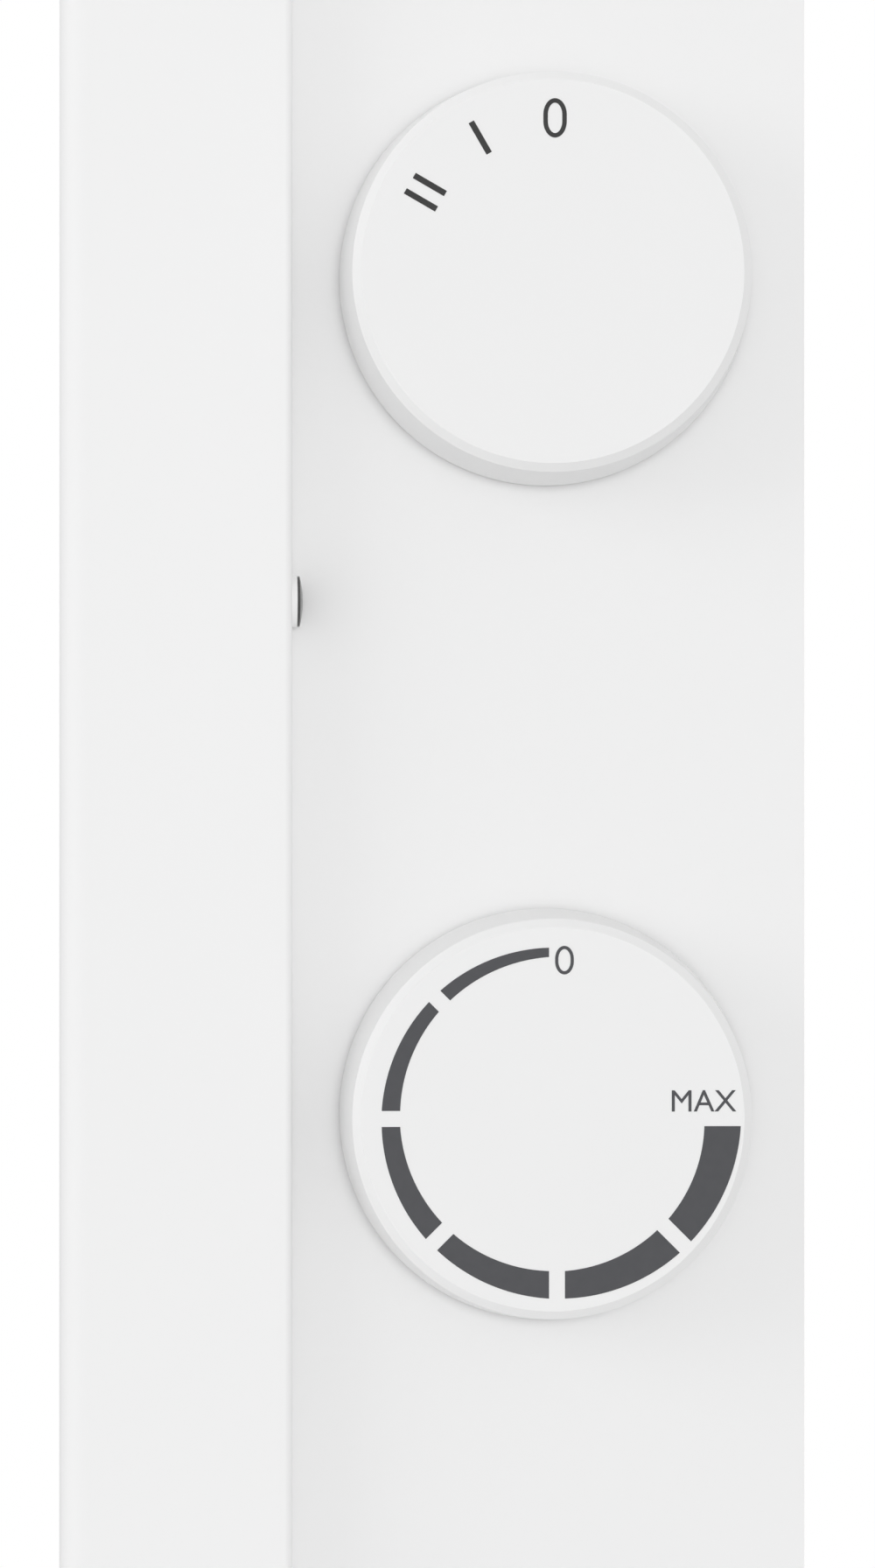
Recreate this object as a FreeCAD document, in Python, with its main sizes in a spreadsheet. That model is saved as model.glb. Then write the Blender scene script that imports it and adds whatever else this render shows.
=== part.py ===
import FreeCAD, Part
import math
import os
from types import SimpleNamespace

import Sketcher
from FreeCAD import Placement, Rotation, Vector

# Convector heater, in millimetres. It stands on the floor plane, faces -Y and has its two dials on the
# +X side. The origin is the floor point under the middle of the casing.

SIZES = {
    # casing
    "case_width": 620,          # front panel, side to side
    "case_height": 410,         # front panel, bottom to top
    "case_depth": 81,           # front face to rear edge
    "front_depth": 25,          # side return of the front panel
    "side_step": 7,             # how far the rear casing is set in from the front panel, all round
    "floor_gap": 40,            # floor to the front panel
    "sheet": 1,                 # steel sheet
    "corner_radius": 4,
    "fold_radius": 2.5,         # front fold of the front panel
    "hem_radius": 0.8,          # rear fold of the front panel
    "lip_width": 20,            # inward lip behind the return
    "flange_width": 12,         # folded edges of the rear casing
    "flange_gap": 1,            # corner relief between folded edges
    "pan_depth": 10,            # folded edge of the rear panel
    "panel_gap": 0.3,           # play between panels that fit into each other
    # grilles and rear panel
    "outlet_inset": 33,         # side panel to the end of the outlet
    "inlet_gap": 3,             # right bracket to the end of the inlet
    "grille_width": 32,         # both openings, front to rear
    "grille_rim": 3,            # rim that covers the opening's edge
    "rim_height": 1.2,
    "grille_depth": 8,          # skirt below the panel's outer face
    "grille_wall": 1.5,
    "hook_proud": 1.2,          # snap hooks under the panel
    "slat_pitch": 5.2,
    "slat_lean": 5,
    "slat_count": 5,
    "bar_pitch": 8,
    "bar_width": 3,
    "keyhole_spacing": 300,
    "keyhole_drop": 50,         # from the rear casing's top
    "keyhole_entry": 10,
    "keyhole_slot": 5,
    "keyhole_rise": 11,
    "vent_length": 36,
    "vent_width": 4,
    "vent_pitch": 14,
    "vent_count": 20,
    "bead_inset": 93,           # side panel to the end of a bead
    "bead_width": 12,
    "bead_depth": 1.6,
    # dials
    "knob_drop": 78,            # top of the front panel to the upper dial
    "knob_spacing": 90.5,
    "dial_forward": 0.4,        # dials ahead of the side panel's middle
    "knob_height": 14,          # panel to knob face
    "knob_gap": 0.6,            # panel to knob skirt
    "knob_base": 44.6,
    "knob_top": 42.8,           # skirt below the bevel
    "knob_bevel": 0.9,          # round the face
    "knob_wall": 1.8,
    "knob_face": 2.2,
    "boss_dia": 11.5,
    "rib_width": 1.4,
    "rib_rise": 8,              # panel to the ribs, above the screw heads
    "rib_count": 6,
    "shaft_dia": 6,
    "shaft_flat": 1.5,          # depth of the D flat
    "shaft_play": 0.05,
    "shaft_inside": 14,         # shaft length inside the switch or thermostat
    "bush_dia": 9.4,            # threaded neck round the shaft
    "bush_proud": 1.5,
    "control_pitch": 28,        # the two screws of a control
    "plate_sheet": 1.2,
    "plate_width": 18,
    "plate_height": 40,
    "switch_side": 34,
    "switch_depth": 24,
    "thermostat_width": 36,
    "thermostat_height": 36,
    "thermostat_depth": 17,
    "capsule_dia": 22,
    "capsule_depth": 7,
    "tab_width": 6.3,
    "tab_thick": 0.8,
    "tab_length": 8,
    # indicator
    "lens_dia": 4.9,
    "lens_proud": 0.8,
    "lens_drop": 35,            # below the upper dial
    "lens_collar": 5.7,
    "lens_length": 9,
    "holder_depth": 10,
    "holder_height": 11,
    # heating element
    "element_rise": 88,         # bottom panel to the element's axis
    "element_reach": 28,        # axis to the tip of a fin
    "element_hub": 18,
    "fin_root": 3.6,
    "fin_tip": 2,
    "fin_rib": 1.2,             # small ribs across the fins
    "fin_rib_reach": 3.2,
    "core_dia": 10,
    "core_proud": 6,            # core beyond the brackets
    "core_play": 0.1,
    "end_gap": 12,              # fins to bracket
    "cap_length": 7,
    "cap_dia": 12,
    "pin_dia": 3,
    "pin_length": 9,
    "pin_offset": 2.6,
    "ceramic_dia": 15,
    "ceramic_flange": 21,
    "bracket_foot": 10,
    "left_bay": 90,             # left side to the left bracket
    "bracket_bay": 25,          # divider to the right bracket
    # control bay
    "control_bay": 78,          # divider to the right side
    "grommet_bore": 9,
    "grommet_neck": 13,
    "grommet_flange": 17,
    "return_rise": 22,          # bottom panel to the lower grommet
    "cutout_rise": 190,         # bottom panel to the thermal cut-out
    "cutout_dia": 15.8,
    "cutout_body": 9,
    "cutout_proud": 4,
    "cutout_pitch": 24,
    "cutout_ear": 31,
    "tip_rise": 140,            # bottom panel to the tip-over switch
    "tip_width": 20,
    "tip_height": 26,
    "tip_depth": 14,
    "bulb_dia": 7,
    "bulb_length": 80,
    "bulb_rise": 34,
    "bulb_inset": 12,           # bulb's axis behind the front flanges
    "capillary_dia": 2,
    "clip_sheet": 0.8,
    "clip_width": 10,
    "block_length": 34,
    "block_width": 28,
    "block_height": 16,
    "pole_pitch": 11,
    "gland_rise": 40,
    "gland_inset": 34,
    "gland_bore": 7.4,
    "gland_neck": 14,
    "gland_flange": 20,
    "gland_length": 18,
    "wire_dia": 2.4,
    "wire_bend": 8,
    # feet
    "foot_inset": 53,           # side panel to the middle of a foot
    "foot_width": 44,
    "foot_length": 230,
    "foot_wall": 3,
    "toe_height": 14,
    "foot_shoulder": 4,         # foot beyond the casing, front and rear
    "foot_curve": 95,
    "toe_corner": 6,
    "foot_edge": 2,
    "pad_dia": 16,
    "pad_proud": 2,
    "pad_sunk": 1.5,
    "pad_inset": 14,
    # screws
    "screw_dia": 3.5,
    "screw_head": 6,
    "screw_rise": 2,
    "screw_length": 7,
    "screw_play": 0.1,
    "foot_screw_dia": 5,
    "foot_screw_head": 9,
    "foot_screw_rise": 3,
    "nut_dia": 8,
    "nut_flange": 11,
    "nut_length": 6,
}

doc = FreeCAD.newDocument("ConvectorHeater")
sheet = doc.addObject("Spreadsheet::Sheet", "Sizes")
for row, (name, number) in enumerate(SIZES.items(), 1):
    sheet.set(f"A{row}", name)
    sheet.set(f"B{row}", str(number))
    sheet.setAlias(f"B{row}", name)
doc.recompute()


class Size:
    """A number together with the formula that ties it to the sheet."""

    def __init__(self, text, value):
        self.text = text
        self.value = value

    def __float__(self):
        return self.value

    def __neg__(self):
        return Size(f"(-{self.text})", -self.value)

    def __add__(self, other):
        other = as_size(other)
        return Size(f"({self.text} + {other.text})", self.value + other.value)

    def __sub__(self, other):
        other = as_size(other)
        return Size(f"({self.text} - {other.text})", self.value - other.value)

    def __mul__(self, other):
        other = as_size(other)
        return Size(f"({self.text} * {other.text})", self.value * other.value)

    def __truediv__(self, other):
        other = as_size(other)
        return Size(f"({self.text} / {other.text})", self.value / other.value)

    def __rsub__(self, other):
        return as_size(other) - self

    __radd__ = __add__
    __rmul__ = __mul__


def as_size(number):
    return number if isinstance(number, Size) else Size(repr(float(number)), float(number))


s = SimpleNamespace(**{name: Size(f"Sizes.{name}", float(sheet.get(name))) for name in SIZES})

# places that several pieces share
front_face = -s.case_depth / 2
rear_face = s.case_depth / 2
lip_face = front_face + s.front_depth                       # rear side of the front panel's lip
flange_face = lip_face + s.sheet                            # inner side of the flanges on the lip
side_face = s.case_width / 2 - s.side_step                  # outer side of the side panels
side_inner = side_face - s.sheet
deck_low = s.floor_gap + s.side_step                        # underside of the bottom panel
deck_high = s.floor_gap + s.case_height - s.side_step       # upper side of the top panel
inner_low = deck_low + s.sheet
inner_high = deck_high - s.sheet
middle_y = (lip_face + rear_face) / 2                       # grilles and element lie on this plane
dial_y = middle_y - s.dial_forward
upper_z = s.floor_gap + s.case_height - s.knob_drop
lower_z = upper_z - s.knob_spacing
lens_x = (side_face + s.case_width / 2 - s.sheet) / 2
lens_z = upper_z - s.lens_drop
divider_face = side_inner - s.control_bay                   # control side of the divider
divider_back = divider_face - s.sheet
bracket_right = divider_back - s.bracket_bay                # element side of the right bracket
bracket_left = -side_inner + s.left_bay                     # element side of the left bracket
outlet_length = 2 * (side_face - s.outlet_inset)
inlet_length = 2 * (bracket_right - s.inlet_gap)
foot_x = side_face - s.foot_inset
element_z = deck_low + s.element_rise
flange_x = side_face - s.flange_width / 2
screw_hole = s.screw_dia + 2 * s.screw_play
foot_screw_hole = s.foot_screw_dia + 2 * s.screw_play
pan_screw_y = rear_face - s.pan_depth / 2
thirds = (-s.case_width / 3, as_size(0), s.case_width / 3)
bracket_half = rear_face - s.pan_depth - s.panel_gap - middle_y      # up to the rear panel's folded edge
foot_screw_reach = bracket_half - s.nut_flange / 2 - s.flange_gap
foot_screw_y = (middle_y - foot_screw_reach, middle_y + foot_screw_reach)

PLANES = {"x": "YZ_Plane", "y": "XZ_Plane", "z": "XY_Plane"}
pieces = []


def bind(thing, path, value):
    thing.setExpression(path, as_size(value).text)


def keep(thing, label):
    thing.Label = label
    pieces.append(thing)
    return thing


def make_body(label, x=0, y=0, z=0):
    body = keep(doc.addObject("PartDesign::Body", label), label)
    for axis, place in zip("xyz", (x, y, z)):
        bind(body, f"Placement.Base.{axis}", place)
    return body


def origin_of(body, role):
    return next(feature for feature in body.Origin.OriginFeatures if feature.Role == role)


def pin(sketch, geometry, point, u, v):
    """Tie a point of the sketch to its two coordinates."""
    for kind, axis, value in (("DistanceX", -2, as_size(u)), ("DistanceY", -1, as_size(v))):
        if value.value == 0:
            sketch.addConstraint(Sketcher.Constraint("PointOnObject", geometry, point, axis))
        else:
            index = sketch.addConstraint(Sketcher.Constraint(kind, -1, 1, geometry, point, value.value))
            bind(sketch, f"Constraints[{index}]", value)


def arc_through(start, end, radius):
    """Arc between two points; a positive radius bulges to the right of the way from start to end."""
    chord = end - start
    half = chord.Length / 2
    height = abs(radius) - math.sqrt(radius * radius - half * half)
    right = Vector(chord.y, -chord.x, 0).normalize()
    return Part.Arc(start, start + chord / 2 + right * math.copysign(height, radius), end)


def outline(*corners):
    """Closed outline of straight sides. A third value at a corner turns the side after it into an arc."""
    def add(sketch):
        spots = [Vector(float(corner[0]), float(corner[1]), 0) for corner in corners]
        first = sketch.GeometryCount
        for here, corner in enumerate(corners):
            start, end = spots[here], spots[(here + 1) % len(spots)]
            if len(corner) == 3:
                sketch.addGeometry(arc_through(start, end, float(corner[2])), False)
            else:
                sketch.addGeometry(Part.LineSegment(start, end), False)
        for here, corner in enumerate(corners):
            side, following = first + here, first + (here + 1) % len(corners)
            ends = [sketch.getPoint(side, 1), sketch.getPoint(side, 2)]
            begin = 1 if (ends[0] - spots[here]).Length < (ends[1] - spots[here]).Length else 2
            goal = spots[(here + 1) % len(spots)]
            next_start = sketch.getPoint(following, 1)
            next_point = 1 if (next_start - goal).Length < 1e-6 else 2
            sketch.addConstraint(Sketcher.Constraint("Coincident", side, 3 - begin, following, next_point))
            pin(sketch, side, begin, corner[0], corner[1])
            if len(corner) == 3:
                radius = as_size(corner[2])
                radius = radius if radius.value > 0 else -radius
                index = sketch.addConstraint(Sketcher.Constraint("Radius", side, radius.value))
                bind(sketch, f"Constraints[{index}]", radius)
    return add


def box(left, low, right, high):
    return outline((left, low), (right, low), (right, high), (left, high))


def rounded_box(left, low, right, high, radius):
    return outline((left + radius, low), (right - radius, low, radius),
                   (right, low + radius), (right, high - radius, radius),
                   (right - radius, high), (left + radius, high, radius),
                   (left, high - radius), (left, low + radius, radius))


def circle(u, v, diameter):
    def add(sketch):
        spot = Vector(float(u), float(v), 0)
        radius = float(diameter) / 2
        ring = sketch.addGeometry(Part.Circle(spot, Vector(0, 0, 1), radius), False)
        pin(sketch, ring, 3, u, v)
        index = sketch.addConstraint(Sketcher.Constraint("Diameter", ring, 2 * radius))
        bind(sketch, f"Constraints[{index}]", diameter)
    return add


def slot(u, low, high, width):
    """Upright slot with round ends, given by the middle line and the two end centres."""
    def add(sketch):
        half = float(width) / 2
        left, right = float(u) - half, float(u) + half
        bottom, top = float(low), float(high)
        normal = Vector(0, 0, 1)
        upper_ring = Part.Circle(Vector(float(u), top, 0), normal, half)
        lower_ring = Part.Circle(Vector(float(u), bottom, 0), normal, half)
        sides = [
            Part.LineSegment(Vector(right, bottom, 0), Vector(right, top, 0)),
            Part.ArcOfCircle(upper_ring, 0, math.pi),
            Part.LineSegment(Vector(left, top, 0), Vector(left, bottom, 0)),
            Part.ArcOfCircle(lower_ring, math.pi, 2 * math.pi),
        ]
        first = sketch.GeometryCount
        for side in sides:
            sketch.addGeometry(side, False)
        for here in range(4):
            following = first + (here + 1) % 4
            sketch.addConstraint(Sketcher.Constraint("Tangent", first + here, 2, following, 1))
        sketch.addConstraint(Sketcher.Constraint("Equal", first + 1, first + 3))
        sketch.addConstraint(Sketcher.Constraint("Vertical", first))
        pin(sketch, first + 1, 3, u, high)
        index = sketch.addConstraint(Sketcher.Constraint("DistanceY", -1, 1, first + 3, 3, bottom))
        bind(sketch, f"Constraints[{index}]", low)
        index = sketch.addConstraint(Sketcher.Constraint("Radius", first + 1, half))
        bind(sketch, f"Constraints[{index}]", as_size(width) / 2)
    return add


def d_shape(diameter, flat):
    """Round outline with a flat on its upper side, centred on the sketch's origin."""
    def add(sketch):
        radius = float(diameter) / 2
        height = radius - float(flat)
        start = math.asin(height / radius)
        ring = Part.Circle(Vector(0, 0, 0), Vector(0, 0, 1), radius)
        arc = sketch.addGeometry(Part.ArcOfCircle(ring, math.pi - start, 2 * math.pi + start), False)
        begin, end = sketch.getPoint(arc, 1), sketch.getPoint(arc, 2)
        chord = sketch.addGeometry(Part.LineSegment(end, begin), False)
        sketch.addConstraint(Sketcher.Constraint("Coincident", arc, 3, -1, 1))
        sketch.addConstraint(Sketcher.Constraint("Coincident", arc, 2, chord, 1))
        sketch.addConstraint(Sketcher.Constraint("Coincident", chord, 2, arc, 1))
        sketch.addConstraint(Sketcher.Constraint("Horizontal", chord))
        index = sketch.addConstraint(Sketcher.Constraint("Diameter", arc, 2 * radius))
        bind(sketch, f"Constraints[{index}]", diameter)
        index = sketch.addConstraint(Sketcher.Constraint("DistanceY", -1, 1, chord, 1, height))
        bind(sketch, f"Constraints[{index}]", as_size(diameter) / 2 - flat)
    return add


def draw(body, axis, place, loops):
    """A sketch across an axis, at a place along it."""
    sketch = body.newObject("Sketcher::SketchObject", "Sketch")
    sketch.AttachmentSupport = [(origin_of(body, PLANES[axis]), "")]
    sketch.MapMode = "FlatFace"
    bind(sketch, "AttachmentOffset.Base.z", -as_size(place) if axis == "y" else place)
    for loop in loops:
        loop(sketch)
    return sketch


def in_order(start, end):
    start, end = as_size(start), as_size(end)
    return (start, end) if start.value < end.value else (end, start)


def extrude(body, axis, start, end, *loops):
    start, end = in_order(start, end)
    sketch = draw(body, axis, start, loops)
    pad = body.newObject("PartDesign::Pad", "Pad")
    pad.Profile = sketch
    pad.Reversed = axis == "y"
    bind(pad, "Length", end - start)
    return pad


def cut(body, axis, start, end, *loops):
    start, end = in_order(start, end)
    sketch = draw(body, axis, start, loops)
    pocket = body.newObject("PartDesign::Pocket", "Pocket")
    pocket.Profile = sketch
    pocket.Reversed = axis != "y"
    bind(pocket, "Length", end - start)
    return pocket


def revolve(body, plane, axis, loop):
    """Turn an outline, drawn across one axis, round another."""
    sketch = draw(body, plane, 0, [loop])
    turn = body.newObject("PartDesign::Revolution", "Revolution")
    turn.Profile = sketch
    turn.ReferenceAxis = (origin_of(body, f"{axis.upper()}_Axis"), [""])
    turn.Angle = 360
    return turn


def repeat(body, features, axis, length, count):
    pattern = body.newObject("PartDesign::LinearPattern", "Pattern")
    pattern.Originals = features
    pattern.Direction = (origin_of(body, f"{axis.upper()}_Axis"), [""])
    bind(pattern, "Length", length)
    bind(pattern, "Occurrences", count)
    body.Tip = pattern
    return pattern


def turn_around(body, features, axis, count):
    pattern = body.newObject("PartDesign::PolarPattern", "Pattern")
    pattern.Originals = features
    pattern.Axis = (origin_of(body, f"{axis.upper()}_Axis"), [""])
    pattern.Angle = 360
    bind(pattern, "Occurrences", count)
    body.Tip = pattern
    return pattern


def round_edges(body, radius, chosen):
    doc.recompute()
    tip = body.Tip
    names = [f"Edge{number}" for number, edge in enumerate(tip.Shape.Edges, 1) if chosen(edge)]
    fillet = body.newObject("PartDesign::Fillet", "Fillet")
    fillet.Base = (tip, names)
    bind(fillet, "Radius", radius)
    return fillet


def lies_at(edge, axis, place):
    spots = [edge.valueAt(edge.FirstParameter), edge.valueAt(edge.LastParameter)]
    spots.append(edge.valueAt((edge.FirstParameter + edge.LastParameter) / 2))
    return all(abs(getattr(spot, axis) - float(place)) < 1e-5 for spot in spots)


def runs_along(edge, axis):
    others = [other for other in "xyz" if other != axis]
    first, last = edge.valueAt(edge.FirstParameter), edge.valueAt(edge.LastParameter)
    level = all(abs(getattr(first, other) - getattr(last, other)) < 1e-5 for other in others)
    return level and not edge.isClosed()


def spot(x, y, z):
    return Vector(float(x), float(y), float(z))


def group(label, solids):
    """Several separate solids as one piece."""
    made = keep(doc.addObject("Part::Feature", label), label)
    made.Shape = solids[0] if len(solids) == 1 else Part.makeCompound(solids)
    return made


def turned(profile, places, direction):
    """Solids turned from (radius, height) corners, one at each place, with heights along a direction."""
    corners = [Vector(float(radius), 0, float(height)) for radius, height in profile]
    face = Part.Face(Part.makePolygon(corners + corners[:1]))
    solid = face.revolve(Vector(0, 0, 0), Vector(0, 0, 1), 360)
    turn = Rotation(Vector(0, 0, 1), direction)
    copies = []
    for place in places:
        copy = solid.copy()
        copy.Placement = Placement(place, turn)
        copies.append(copy)
    return copies


def pan_screws(places, direction, shank, length, head, rise):
    """Pan head screws whose heads rise along the direction from the face they are seated on."""
    profile = [(0, -length), (shank / 2, -length), (shank / 2, 0), (head / 2, 0), (head / 2, rise * 0.45),
               (head * 0.3, rise), (0, rise)]
    return turned(profile, places, direction)


def small_screws(places, direction):
    return pan_screws(places, direction, s.screw_dia, s.screw_length, s.screw_head, s.screw_rise)


def tube(label, points, diameter, bend):
    """Round wire or pipe along straight runs that meet in tangent arcs."""
    path = []
    start = points[0]
    for before, corner, after in zip(points, points[1:], points[2:]):
        into, out = corner - before, after - corner
        half_turn = into.getAngle(out) / 2
        back = min(float(bend) * math.tan(half_turn), 0.45 * min(into.Length, out.Length))
        into.normalize()
        out.normalize()
        arc_start, arc_end = corner - into * back, corner + out * back
        inward = (out - into).normalize()
        radius = back / math.tan(half_turn)
        middle = corner + inward * (radius / math.cos(half_turn) - radius)
        path.append(Part.LineSegment(start, arc_start))
        path.append(Part.Arc(arc_start, middle, arc_end))
        start = arc_end
    path.append(Part.LineSegment(start, points[-1]))
    wire = Part.Wire([run.toShape() for run in path])
    ring = Part.Wire([Part.makeCircle(float(diameter) / 2, points[0], points[1] - points[0])])
    return group(label, [Part.Solid(wire.makePipeShell([ring], True, False))])


def blocks(label, corners):
    """Plain rectangular solids, given by their two opposite corners."""
    solids = []
    for low, high in corners:
        span = high - low
        solids.append(Part.makeBox(span.x, span.y, span.z, low))
    return group(label, solids)


# front panel: one folded tray with a lip round its rear edge
flange_screw_places = [(sign * flange_x, deck_low + (deck_high - deck_low) * part)
                       for sign in (-1, 1) for part in (1 / 6, 1 / 2, 5 / 6)]
flange_screw_places += [(x, z) for x in thirds
                        for z in (deck_low + s.flange_width / 2, deck_high - s.flange_width / 2)]
holder_screw_place = (flange_x, lens_z)


def front_panel():
    body = make_body("front_panel")
    half, low, high = s.case_width / 2, s.floor_gap, s.floor_gap + s.case_height
    inner, lip = s.sheet, s.lip_width
    extrude(body, "y", front_face, lip_face, rounded_box(-half, low, half, high, s.corner_radius))
    round_edges(body, s.fold_radius, lambda edge: lies_at(edge, "y", front_face))
    round_edges(body, s.hem_radius, lambda edge: lies_at(edge, "y", lip_face))
    floor = front_face + s.sheet
    cut(body, "y", floor, lip_face, box(lip - half, low + lip, half - lip, high - lip))
    cavity = rounded_box(inner - half, low + inner, half - inner, high - inner, s.corner_radius - s.sheet)
    cut(body, "y", floor, lip_face - s.sheet, cavity)
    round_edges(body, s.fold_radius - s.sheet, lambda edge: lies_at(edge, "y", floor))
    screws = [circle(x, z, screw_hole) for x, z in flange_screw_places + [holder_screw_place]]
    lens = circle(lens_x, lens_z, s.lens_dia + 2 * s.screw_play)
    cut(body, "y", lip_face - s.sheet, lip_face, lens, *screws)


# rear casing: side panels with folded edges, top and bottom panels over them, and a rear panel between
def side_panel(label, sign):
    body = make_body(label)
    edge = sign * (side_face - s.flange_width)
    extrude(body, "x", sign * side_inner, sign * side_face, box(lip_face, inner_low, rear_face, inner_high))
    extrude(body, "y", lip_face, flange_face, box(edge, inner_low, sign * side_face, inner_high))
    tab = box(edge, flange_face + s.flange_gap, sign * side_face, rear_face - s.pan_depth - s.flange_gap)
    extrude(body, "z", inner_low, inner_low + s.sheet, tab)
    extrude(body, "z", inner_high - s.sheet, inner_high, tab)
    screws = [(x, z) for x, z in flange_screw_places if float(x) * sign > float(side_face - s.flange_width)]
    if sign > 0:
        screws.append(holder_screw_place)
    cut(body, "y", lip_face, flange_face, *[circle(x, z, screw_hole) for x, z in screws])
    corner = circle(sign * flange_x, middle_y, screw_hole)
    cut(body, "z", inner_low, inner_low + s.sheet, corner)
    cut(body, "z", inner_high - s.sheet, inner_high, corner)
    if sign > 0:
        for z in (upper_z, lower_z):
            cut(body, "x", side_inner, side_face, circle(dial_y, z, s.bush_dia + 2 * s.panel_gap),
                circle(dial_y, z - s.control_pitch / 2, screw_hole),
                circle(dial_y, z + s.control_pitch / 2, screw_hole))


def deck(label, outer, inward, opening):
    """Top or bottom panel: a sheet over the side panels' tabs, with a front flange and a grille opening."""
    body = make_body(label)
    inner = outer + inward * s.sheet
    flange = side_face - s.flange_width - s.flange_gap
    extrude(body, "z", outer, inner, box(-side_face, lip_face, side_face, rear_face))
    low, high = in_order(outer, outer + inward * s.flange_width)
    extrude(body, "y", lip_face, flange_face, box(-flange, low, flange, high))
    half = s.grille_width / 2
    cut(body, "z", outer, inner, box(-opening / 2, middle_y - half, opening / 2, middle_y + half))
    row = outer + inward * s.flange_width / 2
    cut(body, "y", lip_face, flange_face, *[circle(x, row, screw_hole) for x in thirds])
    corners = [circle(sign * flange_x, middle_y, screw_hole) for sign in (-1, 1)]
    cut(body, "z", outer, inner, *corners, *[circle(x, pan_screw_y, screw_hole) for x in thirds])
    return body


bracket_screw_y = (middle_y - bracket_half * 0.7, middle_y + bracket_half * 0.7)
bracket_screw_x = (bracket_left - s.bracket_foot * 0.6, bracket_right + s.bracket_foot * 0.6)
divider_foot_x = divider_back - s.flange_width / 2
divider_screw_y = (middle_y - bracket_half * 0.6, middle_y + bracket_half * 0.6)
divider_screw_z = (deck_low + (deck_high - deck_low) / 3, deck_low + (deck_high - deck_low) * 2 / 3)
block_x = side_face - s.flange_width - s.flange_gap - s.block_width / 2
block_screw_x = block_x + s.block_width / 4


def bottom_panel():
    body = deck("bottom_panel", deck_low, 1, inlet_length)
    feet = [circle(sign * foot_x, y, foot_screw_hole) for sign in (-1, 1) for y in foot_screw_y]
    brackets = [circle(x, y, screw_hole) for x in bracket_screw_x for y in bracket_screw_y]
    divider = [circle(divider_foot_x, y, screw_hole) for y in divider_screw_y]
    block = circle(block_screw_x, middle_y, screw_hole)
    cut(body, "z", deck_low, inner_low, *feet, *brackets, *divider, block)


keyhole_z = deck_high - s.keyhole_drop
gland_x = side_inner - s.gland_inset
gland_z = deck_low + s.gland_rise


def bead(body, z):
    """Stiffening bead: pressed inward, so it stands proud inside and is hollow outside."""
    length, half = side_face - s.bead_inset, s.bead_width / 2
    inner = rear_face - s.sheet
    extrude(body, "y", inner - s.bead_depth, inner, box(-length, z - half, length, z + half))
    length, half = length - s.sheet, half - s.sheet
    cut(body, "y", rear_face - s.bead_depth, rear_face, box(-length, z - half, length, z + half))


def rear_panel():
    body = make_body("rear_panel")
    half = side_inner - s.panel_gap
    low, high = inner_low + s.panel_gap, inner_high - s.panel_gap
    front = rear_face - s.pan_depth
    inner = s.sheet
    extrude(body, "y", front, rear_face, rounded_box(-half, low, half, high, s.fold_radius))
    round_edges(body, s.hem_radius, lambda edge: lies_at(edge, "y", rear_face))
    hollow = rounded_box(inner - half, low + inner, half - inner, high - inner, s.fold_radius - s.sheet)
    cut(body, "y", front, rear_face - s.sheet, hollow)
    side = (half - s.fold_radius, half + s.sheet)
    corner = s.pan_depth
    cut(body, "y", front, front + s.pan_depth / 2, box(side[0], low + corner, side[1], high - corner),
        box(-side[1], low + corner, -side[0], high - corner))
    for part in (1 / 3, 2 / 3):
        bead(body, deck_low + (deck_high - deck_low) * part + s.bead_width * 1.5)
    holes = [circle(sign * s.keyhole_spacing / 2, keyhole_z, s.keyhole_entry) for sign in (-1, 1)]
    rear_sheet = (rear_face - s.sheet, rear_face)
    cut(body, "y", *rear_sheet, *holes, circle(gland_x, gland_z, s.gland_neck + 2 * s.screw_play),
        *[circle(divider_foot_x, z, screw_hole) for z in divider_screw_z])
    slots = [slot(sign * s.keyhole_spacing / 2, keyhole_z, keyhole_z + s.keyhole_rise, s.keyhole_slot)
             for sign in (-1, 1)]
    cut(body, "y", *rear_sheet, *slots)
    span = s.vent_pitch * (s.vent_count - 1)
    low_vent = deck_low + s.gland_rise
    vent = cut(body, "y", *rear_sheet, slot(-span / 2, low_vent, low_vent + s.vent_length, s.vent_width))
    repeat(body, [vent], "x", span, s.vent_count)
    for start, end in ((low, low + s.sheet), (high - s.sheet, high)):
        cut(body, "z", start, end, *[circle(x, pan_screw_y, screw_hole) for x in thirds])


# grilles: a rim on the panel, a skirt through the opening, and snap hooks under the sheet
def grille_frame(label, outer, inward, opening):
    body = make_body(label)
    length, half = opening / 2, s.grille_width / 2
    low, high = middle_y - half, middle_y + half
    gap, rim, wall = s.panel_gap, s.grille_rim, s.grille_wall
    inside = box(gap + wall - length, low + gap + wall, length - gap - wall, high - gap - wall)
    top = outer - inward * s.rim_height
    extrude(body, "z", outer, top, box(-length - rim, low - rim, length + rim, high + rim), inside)

    def on_rim_edge(edge):
        middle = edge.BoundBox.Center
        outside = abs(middle.x) > float(length) or abs(middle.y - float(middle_y)) > float(half)
        return lies_at(edge, "z", top) and outside

    round_edges(body, s.rim_height / 2, on_rim_edge)
    extrude(body, "z", outer, outer + inward * s.grille_depth,
            box(gap - length, low + gap, length - gap, high - gap), inside)
    under = outer + inward * (s.sheet + s.panel_gap)
    hooks = []
    for start, end in ((low - s.hook_proud, low + gap + wall), (high - gap - wall, high + s.hook_proud)):
        hook = box(-length * 0.8, start, -length * 0.8 + s.clip_width, end)
        hooks.append(extrude(body, "z", under, under + inward * s.hook_proud * 2, hook))
    repeat(body, hooks, "x", opening * 0.8 - s.clip_width, 4)
    return body


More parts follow.
